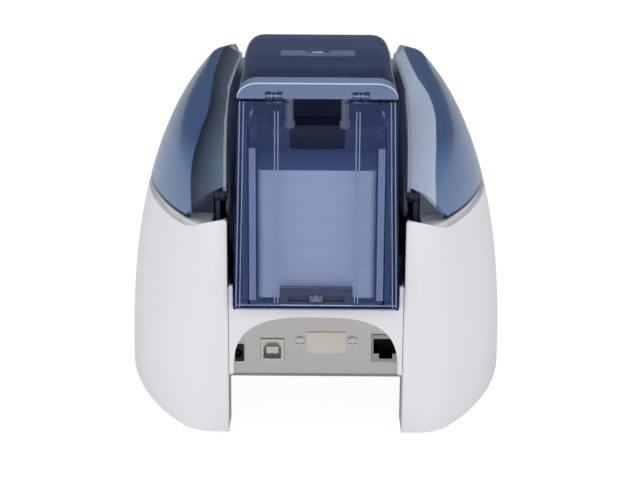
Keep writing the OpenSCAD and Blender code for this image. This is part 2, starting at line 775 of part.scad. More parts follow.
// plan of all that lies outside the feeder bay, t beyond its wall
module outside_bay(t) {
    polygon(concat([for (q = bay_q) [bay_half(max(0, q)) + t, q]], [[body_w, body_l + 10], [body_w, -6]]));
}

module cheek_plan() {
    polygon(concat([for (q = bay_q) [bay_half(max(0, q)), q]],
        [for (i = [len(bay_q) - 1:-1:0]) [bay_half(max(0, bay_q[i])) + cheek_t, bay_q[i]]]));
}

hinge_ease_r = 7;
module wing() {
    difference() {
        intersection() {
            pebble();
            plan(0, crown_h + 5) outside_bay(cheek_t);
            side(0, body_w) above_edge();
        }
        pebble(cover_t);
        rod(hinge_q, hinge_h, hinge_ease_r, 0, post_x0 + post_t + 2);
    }
}

module left_wing() {
    color([0.42, 0.5, 0.8, 0.75]) wing();
}

module right_wing() {
    color([0.42, 0.5, 0.8, 0.75]) mirror([1, 0, 0]) wing();
}

// side view of the cover's middle part, t inside its outer face
module valley_profile(t) {
    qs = [for (i = [0:12]) bay_mid_q - 4 + (body_l + 8 - bay_mid_q) * i / 12];
    difference() {
        polygon(concat([for (q = qs) [q, valley_z(q) - t]],
            [for (i = [12:-1:0]) [qs[i], seam_z(qs[i]) + cover_gap - (t > 0 ? 5 : 0)]]));
        translate([hinge_q, hinge_h]) circle(r = swing_r + t, $fn = 160);
    }
}

module cover_spine() {
    color("#c3c7ca") difference() {
        union() {
            intersection() {
                pebble();
                union() {
                    difference() {
                        intersection() {
                            both() plan(0, crown_h) cheek_plan();
                            side(-body_w, body_w) above_edge();
                        }
                        rod(hinge_q, hinge_h, 9, -body_w, body_w);
                    }
                    difference() {
                        intersection() {
                            side(-valley_half - 1, valley_half + 1) valley_profile(0);
                            plan(0, crown_h) valley_plan(0);
                        }
                        intersection() {
                            pebble(spine_t);
                            side(-valley_half - 2, valley_half + 2) valley_profile(spine_t);
                            plan(0, crown_h) valley_plan(-0.3);
                        }
                    }
                }
            }
            both() block(6.6, 8.6, latch_q - 4, latch_q + 4, latch_pivot_h - 3, valley_z(latch_q) - 1);
        }
        plan(latch_pivot_h + 4, crown_h) translate([0, button_q]) {
            round_rect(button_w + 0.8, button_l + 0.8, 4);
        }
        rod(latch_q, latch_pivot_h, latch_pin_r + shaft_fit, -10, 10);
    }
}

// plan of the valley between the cheeks, grown by g
module valley_plan(g) {
    qs = [for (q = bay_q) if (q >= bay_mid_q) q];
    polygon(concat([[-bay_mid_half - g, bay_mid_q - 20], [bay_mid_half + g, bay_mid_q - 20]],
        [for (q = qs) [bay_half(q) + g, q]], [for (i = [len(qs) - 1:-1:0]) [-bay_half(qs[i]) - g, qs[i]]]));
}

arm_t = 2;
arm_x0 = 42.4;
arm_l = 40;
// hinge arms on the outside of the cheeks
module cover_arms() {
    color("#5c6066") both() difference() {
        union() {
            rod(hinge_q, hinge_h, post_head_r, arm_x0, arm_x0 + arm_t);
            side(arm_x0, arm_x0 + arm_t) polygon([[hinge_q, hinge_h - post_head_r], [hinge_q + arm_l, hinge_h - 2],
                [hinge_q + arm_l, hinge_h + 8], [hinge_q, hinge_h + post_head_r]]);
        }
        rod(hinge_q, hinge_h, pin_r + shaft_fit, arm_x0 - 1, arm_x0 + arm_t + 1);
    }
}

module cover_pins() {
    color("#1f2650") both() {
        rod(hinge_q, hinge_h, pin_r, arm_x0 - 1.4, post_x0 + post_t + 0.6);
        rod(hinge_q, hinge_h, pin_r + 1.6, arm_x0 - 1.4, arm_x0);
    }
}

// ---- print head on the cover ----

head_half = 29;
head_h0 = path_h + 1.6;
module print_head() {
    color("#d8dadb") side(-head_half, head_half) polygon([[head_q - 1.2, head_h0], [head_q + 1.2, head_h0],
        [head_q + 5, head_h0 + 2.5], [head_q + 5, head_h0 + 14], [head_q - 6, head_h0 + 14], [head_q - 6, head_h0 + 4]]);
}

module head_bracket() {
    top = valley_z(head_q + 6) - spine_t;
    color("#3a3d42") {
        block(-head_half, head_half, head_q - 4, head_q + 3, head_h0 + 14, head_h0 + 26);
        both() block(head_half - 10, head_half - 7, head_q - 4, head_q + 3, head_h0 + 26 - eps, top);
    }
}

button_q = 236;
button_w = 22;
button_l = 16;
latch_q = 258;
latch_h = 96;
latch_pin_r = 1.5;
latch_pivot_h = valley_z(latch_q) - spine_t - 5;
// push button in the valley, its top following the valley's slope
module release_button() {
    qs = [for (i = [-2:2]) button_q + i * button_l / 4];
    color("#8f959b") {
        intersection() {
            plan(0, crown_h) translate([0, button_q]) round_rect(button_w, button_l, 3.6);
            side(-button_w, button_w) polygon(concat([for (q = qs) [q, valley_z(q) + 0.6]],
                [for (i = [4:-1:0]) [qs[i], valley_z(qs[i]) - 5]]));
        }
        block(-2, 2, button_q - 2, button_q + 2, latch_pivot_h + 0.8, valley_z(button_q) - 4);
    }
}

// bell crank: the button presses its rear arm, and the hook below lets go of the catch
module cover_latch() {
    p = latch_pivot_h;
    color("#8f959b") {
        side(-6, 6) polygon([[latch_q - 2, p + 2.4], [latch_q + 2, p + 2.4], [latch_q + 2, latch_h - 14],
            [latch_q - 5, latch_h - 11], [latch_q - 5, latch_h - 9.5], [latch_q - 2, latch_h - 9.5],
            [latch_q - 2, p - 3], [button_q - 2, p - 2.4], [button_q - 2, p + 0.5], [latch_q - 4, p + 0.6]]);
        rod(latch_q, p, latch_pin_r, -8.6, 8.6);
    }
}

// ledge behind the hook's nose
module latch_catch() {
    q1 = latch_q - 5 - clear;
    color("#b4b8bb") {
        block(-10, 10, q1 - 6, q1, latch_h - 8.9, latch_h - 6.9);
        both() block(8, 10, q1 - 6, q1, latch_h - 16, latch_h - 6.9);
        block(-side_x, side_x, q1 - 6, q1, latch_h - 18, latch_h - 16);
    }
}

// ---- front ----

slot_h0 = path_h - 3;
slot_h1 = path_h + 5;
fascia_q0 = body_l - 3;
fascia_q1 = body_l - 0.5;
fascia_top = seam_z(body_l) - 0.3;
button_x = 22;
button_h = slot_h1 + 5;
module front_fascia() {
    color("#c3c7ca") difference() {
        block(-fascia_half + 0.3, fascia_half - 0.3, fascia_q0, fascia_q1, fascia_h0 + 0.3, fascia_top);
        block(-card_w / 2 - 3, card_w / 2 + 3, fascia_q0 - 1, fascia_q1 + 1, slot_h0, slot_h1);
        translate([button_x, rear_y - fascia_q0 + 1, button_h]) rotate([90, 0, 0]) cylinder(h = 6, r = 3.3);
        for (i = [0:2]) translate([-button_x + i * 6, rear_y - fascia_q0 + 1, button_h]) {
            rotate([90, 0, 0]) cylinder(h = 6, r = 1.3);
        }
    }
}

module control_button() {
    color("#e8eaec") translate([button_x, rear_y - fascia_q0 + 1, button_h]) rotate([90, 0, 0]) {
        cylinder(h = 4.3, r = 3);
        cylinder(h = 0.9, r = 4.2);
    }
}

module status_lights() {
    color("#7fd08a") for (i = [0:2]) translate([-button_x + i * 6, rear_y - fascia_q0 + 1.5, button_h]) {
        rotate([90, 0, 0]) {
            cylinder(h = 4, r = 1.2);
            cylinder(h = 1.4, r = 2);
        }
    }
}

module output_tray() {
    q0 = fascia_q1;
    q1 = body_l + tray_l;
    r = 14;
    h1 = slot_h0 - 1;
    color([0.42, 0.5, 0.8, 0.85]) difference() {
        plan(tray_h, h1) union() {
            translate([-tray_w / 2, q0]) square([tray_w, q1 - q0 - r]);
            translate([-tray_w / 2 + r, q0]) square([tray_w - 2 * r, q1 - q0]);
            for (s = [-1, 1]) translate([s * (tray_w / 2 - r), q1 - r]) circle(r);
        }
        plan(tray_h + 2.4, h1 + 1) union() {
            translate([-tray_w / 2 + 2.4, q0 + 2.4]) square([tray_w - 4.8, q1 - q0 - r - 2.4]);
            translate([-tray_w / 2 + r, q0 + 2.4]) square([tray_w - 2 * r, q1 - q0 - 4.8]);
            for (s = [-1, 1]) translate([s * (tray_w / 2 - r), q1 - r]) circle(r - 2.4);
        }
        block(-11, 11, q1 - 14, q1 + 1, tray_h + 6, h1 + 1);
        side(-tray_w, tray_w) polygon([[q0 + 30, h1 + 1], [q1 - 10, h1 - 7], [q1 + 2, h1 - 7], [q1 + 2, h1 + 1]]);
    }
}

// ---- rollers, belt and gears ----

// a rubber roller on its shaft; shaft_to is how far the shaft reaches to the left
module roller(q, z, r, half, shaft, left, right) {
    color("#cfd2d4") rod(q, z, shaft, -right, left);
    color("#34363a") difference() {
        rod(q, z, r, -half, half);
        rod(q, z, shaft - eps, -half - 1, half + 1);
    }
}

pulley_x = side_x + side_t + 0.6;
module pulley(q) {
    color("#e6e7e4") {
        rod(q, drive_h, pulley_r, pulley_x, pulley_x + belt_w + 1);
        for (x = [pulley_x, pulley_x + belt_w + 1.8]) rod(q, drive_h, pulley_r + 1.6, x, x + 0.8);
    }
}

shaft_left = pulley_x + belt_w + 3;
shaft_right = side_x + side_t + 0.5;
module drive_roller(q) {
    roller(q, drive_h, roller_r, side_x - 4, shaft_r, shaft_left, shaft_right);
    pulley(q);
}

module in_roller() {
    drive_roller(in_q);
}

module out_roller() {
    drive_roller(out_q);
}

module exit_roller() {
    drive_roller(exit_q);
}

module platen_roller() {
    roller(platen_q, drive_h, roller_r, side_x - 4, shaft_r, shaft_left, side_x + side_t + 10);
    pulley(platen_q);
}

module pinch_roller(q) {
    roller(q, pinch_h, pinch_r, side_x - 5, shaft_r / 2, side_x + side_t + 0.4, side_x + side_t + 0.4);
}

module in_pinch_roller() {
    pinch_roller(in_q);
}

module out_pinch_roller() {
    pinch_roller(out_q);
}

module exit_pinch_roller() {
    pinch_roller(exit_q);
}

module cleaning_roller() {
    roller(clean_q, clean_h, clean_r, side_x - 5, shaft_r / 2, side_x + side_t + 0.4, side_x + side_t + 0.4);
}

module belt_loop(r) {
    for (q = [in_q, exit_q]) translate([q, drive_h]) circle(r);
    translate([in_q, drive_h - r]) square([exit_q - in_q, 2 * r]);
}

module drive_belt() {
    r0 = pulley_r + belt_fit;
    x0 = pulley_x + 0.8 + 0.5;
    color("#202124") side(x0, x0 + belt_w - 0.4) difference() {
        belt_loop(r0 + belt_t);
        belt_loop(r0);
    }
}

// involute gear tooth flank angle at radius r from base radius b
function involute(b, r) = let (t = sqrt(max(0, pow(r / b, 2) - 1))) t * 180 / PI - atan(t);

// spur gear outline with n teeth of module m, turned so that a tooth points along +x at turn 0
module gear_outline(n, m, turn = 0, backlash = 0.12) {
    rp = n * m / 2;
    rb = rp * cos(20);
    ra = rp + m * 0.92;
    rf = rp - 1.2 * m;
    half_tooth = 90 / n - backlash / rp * 90 / PI;
    at_pitch = involute(rb, rp);
    radii = [for (i = [0:4]) max(rb, rf) + (ra - max(rb, rf)) * i / 4];
    polygon([for (k = [0:n - 1]) let (mid = turn + 360 * k / n) each concat(
        [polar(rf, mid - half_tooth - at_pitch)],
        [for (r = radii) polar(r, mid - half_tooth - at_pitch + involute(rb, r))],
        [for (i = [4:-1:0]) polar(radii[i], mid + half_tooth + at_pitch - involute(rb, radii[i]))],
        [polar(rf, mid + half_tooth + at_pitch)])]);
}

function polar(r, a) = [r * cos(a), r * sin(a)];

module gear(q, z, n, turn, x0, x1) {
    side(x0, x1) translate([q, z]) gear_outline(n, gear_m, turn);
}

gear_m = 1;
feed_teeth = 24;
pinion_teeth = 12;
feed_gear_x = feeder_floor_w / 2 + 1;
feed_pinion_q = feed_q + gear_m * (feed_teeth + pinion_teeth) / 2 + 0.05;
module feed_roller() {
    roller(feed_q, feed_h, feed_r, feed_wide, shaft_r, feed_gear_x + 5, side_x + side_t + 0.5);
    color("#e6e7e4") difference() {
        gear(feed_q, feed_h, feed_teeth, 0, feed_gear_x, feed_gear_x + 4);
        rod(feed_q, feed_h, shaft_r - eps, feed_gear_x - 1, feed_gear_x + 5);
    }
}

module feed_pinion() {
    color("#c9a44c") {
        gear(feed_pinion_q, feed_h, pinion_teeth, 180 / pinion_teeth, feed_gear_x - 0.3, feed_gear_x + 4.3);
        rod(feed_pinion_q, feed_h, 1.5, feed_gear_x + 4.3 - eps, feed_gear_x + 10);
    }
}

module motor(q, z, r, x0, x1, bore) {
    difference() {
        rod(q, z, r, x0, x1);
        rod(q, z, bore + shaft_fit, x0 - 1, x1 + 1);
    }
}

module feed_motor() {
    x0 = feed_gear_x + 5;
    color("#2f3134") motor(feed_pinion_q, feed_h, 13, x0, x0 + 22, 1.5);
    color("#b4b8bb") block(x0, x0 + 1.5, feed_pinion_q - 10, feed_pinion_q + 10, base_h + base_t, feed_h - 12.5);
}

module main_motor() {
    x0 = side_x + side_t + 1;
    color("#2f3134") difference() {
        block(-x0 - 32, -x0, platen_q - 17, platen_q + 17, drive_h - 17, drive_h + 17);
        rod(platen_q, drive_h, shaft_r + shaft_fit, -x0 - 12, -x0 + 1);
    }
}

// ---- ribbon ----

spool_half = 31;
module spool(q, film_r, turn, toothed) {
    color("#3a3d42") {
        rod(q, spool_h, 9, -spool_half, spool_half);
        rod(q, spool_h, spindle_r, -side_x - side_t - (toothed ? 5 : 0.4), side_x + side_t + 0.4);
    }
    color("#7a2350") difference() {
        rod(q, spool_h, film_r, -spool_half + 2, spool_half - 2);
        rod(q, spool_h, 9 - eps, -spool_half, spool_half);
    }
    if (toothed) color("#e6e7e4") difference() {
        gear(q, spool_h, takeup_teeth, turn, -takeup_gear_x - 4, -takeup_gear_x);
        rod(q, spool_h, spindle_r - eps, -takeup_gear_x - 5, -takeup_gear_x + 1);
    }
}

takeup_teeth = 24;
takeup_gear_x = side_x + side_t + 1;
supply_film_r = 15;
takeup_film_r = 11;
module supply_spool() {
    spool(supply_q, supply_film_r, 0, false);
}

module takeup_spool() {
    spool(takeup_q, takeup_film_r, 0, true);
}

// the pinion sits below and in front of the take-up gear
mesh_a = -62;
mesh_d = gear_m * (takeup_teeth + pinion_teeth) / 2 + 0.05;
ribbon_pinion_q = takeup_q + mesh_d * cos(mesh_a);
ribbon_pinion_h = spool_h + mesh_d * sin(mesh_a);
mesh_turn = mesh_a + 180 + 180 / pinion_teeth + (mesh_a * takeup_teeth % 360) / pinion_teeth;
module ribbon_pinion() {
    color("#c9a44c") {
        gear(ribbon_pinion_q, ribbon_pinion_h, pinion_teeth, mesh_turn, -takeup_gear_x - 4.3, -takeup_gear_x + 0.3);
        rod(ribbon_pinion_q, ribbon_pinion_h, 1.5, -takeup_gear_x - 10, -takeup_gear_x - 4.3 + eps);
    }
}

module ribbon_motor() {
    x0 = takeup_gear_x + 5;
    color("#2f3134") motor(ribbon_pinion_q, ribbon_pinion_h, 8.5, -x0 - 20, -x0, 1.5);
    color("#b4b8bb") block(-x0 - 1.5, -x0, ribbon_pinion_q - 7, ribbon_pinion_q + 7, base_h + base_t,
        ribbon_pinion_h - 8);
}

film_t = 0.3;
// the film runs from the supply spool under the head edge and up to the take-up spool
module ribbon_film() {
    z = path_h + 1.1;
    line = [[supply_q + supply_film_r + 0.3, spool_h], [head_q - 11, z + 4], [head_q - 3, z], [head_q + 3, z],
        [head_q + 13, z + 5], [takeup_q - takeup_film_r - 0.3, spool_h]];
    color("#7a2350") side(-spool_half + 2, spool_half - 2) polygon(concat(line,
        [for (i = [len(line) - 1:-1:0]) line[i] + [0, -film_t] + (i == 0 || i == len(line) - 1 ? [0, -1] : [0, 0])]));
}

base_plate();
body_shell();
rubber_feet();
rear_bridge();
connector_plate();
usb_port();
ethernet_port();
power_inlet();
serial_blank();
serial_screws();
main_board();
board_chips();
left_side_plate();
right_side_plate();
left_inner_frame();
right_inner_frame();
hinge_posts();
feeder_body();
feeder_nose();
gauge_scale();
card_gauge();
card_stack();
card_weight();
weight_posts();
feeder_lid();
lid_knuckles();
lid_pins();
left_wing();
right_wing();
cover_spine();
cover_arms();
cover_pins();
print_head();
head_bracket();
release_button();
cover_latch();
latch_catch();
front_fascia();
control_button();
status_lights();
output_tray();
feed_roller();
feed_pinion();
feed_motor();
cleaning_roller();
in_roller();
platen_roller();
out_roller();
exit_roller();
in_pinch_roller();
out_pinch_roller();
exit_pinch_roller();
drive_belt();
main_motor();
supply_spool();
takeup_spool();
ribbon_film();
ribbon_pinion();
ribbon_motor();
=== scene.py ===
import math

import bmesh
import bpy
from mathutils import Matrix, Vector


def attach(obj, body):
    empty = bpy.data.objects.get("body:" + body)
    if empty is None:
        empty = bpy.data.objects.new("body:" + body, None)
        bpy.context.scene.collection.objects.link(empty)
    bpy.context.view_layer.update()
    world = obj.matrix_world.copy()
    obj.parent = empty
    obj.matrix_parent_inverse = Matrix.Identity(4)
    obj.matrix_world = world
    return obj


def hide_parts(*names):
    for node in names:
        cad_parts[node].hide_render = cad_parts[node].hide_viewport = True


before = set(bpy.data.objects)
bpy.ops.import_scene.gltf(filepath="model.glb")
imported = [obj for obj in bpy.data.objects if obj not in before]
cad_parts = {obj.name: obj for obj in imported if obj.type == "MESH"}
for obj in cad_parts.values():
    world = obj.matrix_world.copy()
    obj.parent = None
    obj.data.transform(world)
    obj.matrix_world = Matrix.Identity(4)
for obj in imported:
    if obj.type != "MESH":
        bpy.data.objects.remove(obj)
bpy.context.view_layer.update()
print("frame loaded:", len(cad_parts), "nodes")

mm = 0.001  # sizes below are in millimetres
rearY = 0.181  # the casing's rear face; a station is counted forward from it
heart = Vector((0, 0, 0.08))  # the middle of the printer
weld = 0.01 * mm  # points nearer than this become one
leastRadius = 0.5  # no edge of the casing is rounded by less


def hexColour(text):
    parts = [int(text[i:i + 2], 16) / 255 for i in (1, 3, 5)]
    return tuple(c / 12.92 if c <= 0.04045 else ((c + 0.055) / 1.055) ** 2.4 for c in parts) + (1,)


def addNode(tree, kind, links=None, **settings):
    made = tree.nodes.new(kind)
    for name, value in settings.items():
        setattr(made, name, value)
    for name, value in (links or {}).items():
        socket = made.inputs[name]
        if isinstance(value, bpy.types.NodeSocket):
            tree.links.new(value, socket)
        else:
            socket.default_value = value
    return made


# a texture's scale from the real size of its pattern
def scaleOf(size):
    return 1 / (size * mm)


def startMaterial(name):
    material = bpy.data.materials.new(name)
    material.use_nodes = True
    material.node_tree.nodes.clear()
    place = addNode(material.node_tree, "ShaderNodeTexCoord").outputs["Object"]
    return material, material.node_tree, place


def finishMaterial(tree, shader):
    addNode(tree, "ShaderNodeOutputMaterial", {"Surface": shader})


# Plastics from a textured mould. The tint drifts a little, as resin does, and the bump is the
# mould's fine spark finish, drawn coarser than it is so that it shows.
moulded = dict(drift=55.56, bite=0.5, spread=0.04, ior=1.53)
mouldings = {
    # white ABS of the casing: clean and even, with a wide soft sheen
    "satinAbs": dict(colour="#ebebee", shade="#e3e3e7", rough=0.3, grain=0.35, depth=0.02),
    # grey ABS of the cover's middle: duller, so it stays matt between the glossy wings
    "greyAbs": dict(colour="#8f96a5", shade="#868d9c", rough=0.42, grain=0.35, depth=0.03),
    # pale grey ABS of the frames and the front: light and a little dry
    "paleGreyAbs": dict(colour="#c3c6cb", shade="#babdc3", rough=0.4, grain=0.35, depth=0.03),
    # dark blue ABS of the hinges, and the paint of their posts: almost black, with a small
    # clear highlight
    "navyAbs": dict(colour="#282e48", shade="#21263c", rough=0.3, grain=0.3, depth=0.02),
    # blue ABS inside the feeder: deep, and only just lighter than the shade around it; the same
    # blue is painted shade in the strips outside the card guides
    "midnightAbsAndShade": dict(colour="#3a4364", shade="#343c5a", rough=0.35, grain=0.3, depth=0.02),
    # blue-grey ABS of the left frame and the gauge: reads as a middle tone through the clear wall;
    # on the left frame it is painted light, lighter than the part is, to offset the cover's shade
    # on it
    "slateAbsAndPaintedLight": dict(colour="#69738d", shade="#606a84", rough=0.35, grain=0.3, depth=0.02),
    # black nylon of sockets and chips: dead black and dry; the same black is painted shade on the
    # bay's upper sides and in the bead under the wings' edge
    "blackNylonAndShade": dict(colour="#141518", shade="#0e0f11", rough=0.5, grain=0.25, depth=0.04),
    # beige ABS of the blanking plate: warm and chalky against the steel
    "beigeAbs": dict(colour="#d4cec4", shade="#cbc4b9", rough=0.45, grain=0.25, depth=0.04),
    # grey ABS of the buttons: smoother, as keys that fingers polish
    "buttonAbs": dict(colour="#8b9197", shade="#82878d", rough=0.35, grain=0.25, depth=0.02),
}


def mouldedPlastic(name):
    look = mouldings[name]
    material, tree, place = startMaterial(name)
    drift = addNode(tree, "ShaderNodeTexNoise", {"Vector": place,
        "Scale": scaleOf(moulded["drift"]), "Detail": 2})
    tint = addNode(tree, "ShaderNodeMix", {"Factor": drift.outputs["Fac"],
        "A": hexColour(look["shade"]), "B": hexColour(look["colour"])}, data_type="RGBA")
    grain = addNode(tree, "ShaderNodeTexNoise", {"Vector": place,
        "Scale": scaleOf(look["grain"]), "Detail": 1})
    bump = addNode(tree, "ShaderNodeBump", {"Height": grain.outputs["Fac"],
        "Distance": look["depth"] * mm, "Strength": moulded["bite"]})
    gloss = addNode(tree, "ShaderNodeMapRange", {"Value": drift.outputs["Fac"],
        "To Min": look["rough"] - moulded["spread"], "To Max": look["rough"] + moulded["spread"]})
    shader = addNode(tree, "ShaderNodeBsdfPrincipled", {"Base Color": tint.outputs["Result"],
        "Roughness": gloss.outputs["Result"], "Normal": bump.outputs["Normal"],
        "IOR": moulded["ior"]})
    finishMaterial(tree, shader.outputs["BSDF"])
    return material


# Clear polycarbonate from a polished mould. What is inside shows through it, veiled by the
# body's colour as far as the share says, and the melt's flow leaves the highlights a bit wavy.
clearLook = dict(flow=40, depth=0.15, bite=0.15, sheen="#a9bdf2", bodyRough=0.1)
glazing = {
    # thin blue-clear walls of the feeder: the cards stay plain to see
    "feederPolycarbonate": dict(colour="#d8e1f6", body="#5f78c0", share=0.04, rough=0.02,
        shadow="#f4f6fc"),
    # thicker blue tray: clear, but it tints what lies under it
    "trayPolycarbonate": dict(colour="#7d93c2", body="#5c74a8", share=0.15, rough=0.03,
        shadow="#ccd5e8"),
    # pale lines along clear edges, ribs, sills and the lid's dimple: painted highlights, mostly
    # opaque
    "paintedHighlightPolycarbonate": dict(colour="#eef2fc", body="#d3dcf4", share=0.9, rough=0.12,
        shadow="#eef1fa"),
    # frosted guide beside the cards: a pale upright band without a highlight
    "frostedPolycarbonate": dict(colour="#eef0f8", body="#c9cede", share=0.9, rough=0.12,
        shadow="#eef1fa"),
}


def clearShader(tree, place, look, body, share):
    flow = addNode(tree, "ShaderNodeTexNoise", {"Vector": place,
        "Scale": scaleOf(clearLook["flow"]), "Detail": 1})
    bump = addNode(tree, "ShaderNodeBump", {"Height": flow.outputs["Fac"],
        "Distance": clearLook["depth"] * mm, "Strength": clearLook["bite"]})
    glass = addNode(tree, "ShaderNodeBsdfPrincipled", {"Base Color": hexColour(look["colour"]),
        "Roughness": look["rough"], "IOR": 1.5, "Transmission Weight": 1,
        "Normal": bump.outputs["Normal"], "Specular IOR Level": 0.16,
        "Specular Tint": hexColour(clearLook["sheen"])})
    tinted = addNode(tree, "ShaderNodeBsdfPrincipled", {"Base Color": body,
        "Roughness": look["rough"] + clearLook["bodyRough"], "IOR": 1.4,
        "Specular IOR Level": 0.25, "Specular Tint": hexColour(clearLook["sheen"]),
        "Normal": bump.outputs["Normal"]})
    solid = addNode(tree, "ShaderNodeMixShader", {0: share, 1: glass.outputs["BSDF"],
        2: tinted.outputs["BSDF"]})
    shade = addNode(tree, "ShaderNodeBsdfTransparent", {"Color": hexColour(look["shadow"])})
    path = addNode(tree, "ShaderNodeLightPath")
    mix = addNode(tree, "ShaderNodeMixShader", {0: path.outputs["Is Shadow Ray"],
        1: solid.outputs["Shader"], 2: shade.outputs["BSDF"]})
    finishMaterial(tree, mix.outputs["Shader"])


def clearPlastic(name):
    look = glazing[name]
    material, tree, place = startMaterial(name)
    clearShader(tree, place, look, hexColour(look["body"]), look["share"])
    return material


# smoked polycarbonate of the lid, with painted light and shade: painted dark over the hopper and
# paler ahead, a painted highlight band along its rear edge, and a pale grip in its top
lidTintAndShading = dict(colour="#7080ac", body="#2b3654", share=0.35, rough=0.05, shadow="#d4dae8",
    edge=(4.6, 3.8), rimHighlightColour="#7f90b2", rimHighlightShare=0.7, fade=(10, 92), lightAheadColour="#64759d",
    gripHalf=17.5, gripStation=44, gripReach=4.8, gripColour="#8f9dc0")


def lidPlastic():
    look = lidTintAndShading
    material, tree, place = startMaterial("lidPolycarbonate")
    apart = addNode(tree, "ShaderNodeSeparateXYZ", {0: place})
    rear = addNode(tree, "ShaderNodeMapRange", {"Value": apart.outputs["Y"],
        "From Min": rearY - look["edge"][0] * mm, "From Max": rearY - look["edge"][1] * mm})
    ahead = addNode(tree, "ShaderNodeMapRange", {"Value": apart.outputs["Y"],
        "From Min": rearY - look["fade"][0] * mm, "From Max": rearY - look["fade"][1] * mm})
    top = addNode(tree, "ShaderNodeMix", {"Factor": ahead.outputs["Result"],
        "A": hexColour(look["body"]), "B": hexColour(look["lightAheadColour"])}, data_type="RGBA")
    wide = addNode(tree, "ShaderNodeMath", {0: apart.outputs["X"]}, operation="ABSOLUTE")
    across = addNode(tree, "ShaderNodeMath", {0: wide.outputs[0], 1: look["gripHalf"] * mm},
        operation="LESS_THAN")
    along = addNode(tree, "ShaderNodeMath", {0: apart.outputs["Y"],
        1: rearY - look["gripStation"] * mm, 2: look["gripReach"] * mm}, operation="COMPARE")
    grip = addNode(tree, "ShaderNodeMath", {0: across.outputs[0], 1: along.outputs[0]},
        operation="MULTIPLY")
    top = addNode(tree, "ShaderNodeMix", {"Factor": grip.outputs[0],
        "A": top.outputs["Result"], "B": hexColour(look["gripColour"])}, data_type="RGBA")
    body = addNode(tree, "ShaderNodeMix", {"Factor": rear.outputs["Result"],
        "A": top.outputs["Result"], "B": hexColour(look["rimHighlightColour"])}, data_type="RGBA")
    share = addNode(tree, "ShaderNodeMapRange", {"Value": rear.outputs["Result"],
        "To Min": look["share"], "To Max": look["rimHighlightShare"]})
    clearShader(tree, place, look, body.outputs["Result"], share.outputs["Result"])
    return material


# Blue polycarbonate of the wings, with painted reflection and shade: painted pale towards the seam
# and dark at the crown, with a painted dark line along the seam for the wing's dark edge. Towards
# the bay a zone is painted into the body: on the left a dark lining whose painted shade lightens
# inward, on the right a pale painted reflection.
wingTintAndShading = dict(colour="#7f9cc4", rough=0.05, shadow="#e2e8f3", low=96, high=166, share=0.68,
    lineShare=0.95, edge="#1c2740", edgeWidth=1.7, edgeSoft=0.5, seam=(60, 290, 101, 88),
    ramp=((0, "#7f9abf"), (0.42, "#6682ab"), (0.56, "#476390"), (1, "#47638f")))
lineSpan = 100  # the curve of the lining and reflection zones runs from 0 to this half width
liningsAndReflections = {
    "darkLiningAndShade": dict(edge="#0f1526", inner="#697b92", width=19, soft=0.5,
        line=((96, 57.3), (109.5, 58.6), (124.2, 58.7), (139.8, 54.6), (148.5, 51.4),
            (155.4, 50.6), (166, 51.8))),
    "paleReflection": dict(edge="#b4c2da", inner="#98a2b6", width=13, soft=0.6,
        line=((96, 55.2), (107.7, 55.2), (124.7, 55), (136.8, 55.9), (147.6, 55.7),
            (158.8, 49.8), (166, 42))),
}


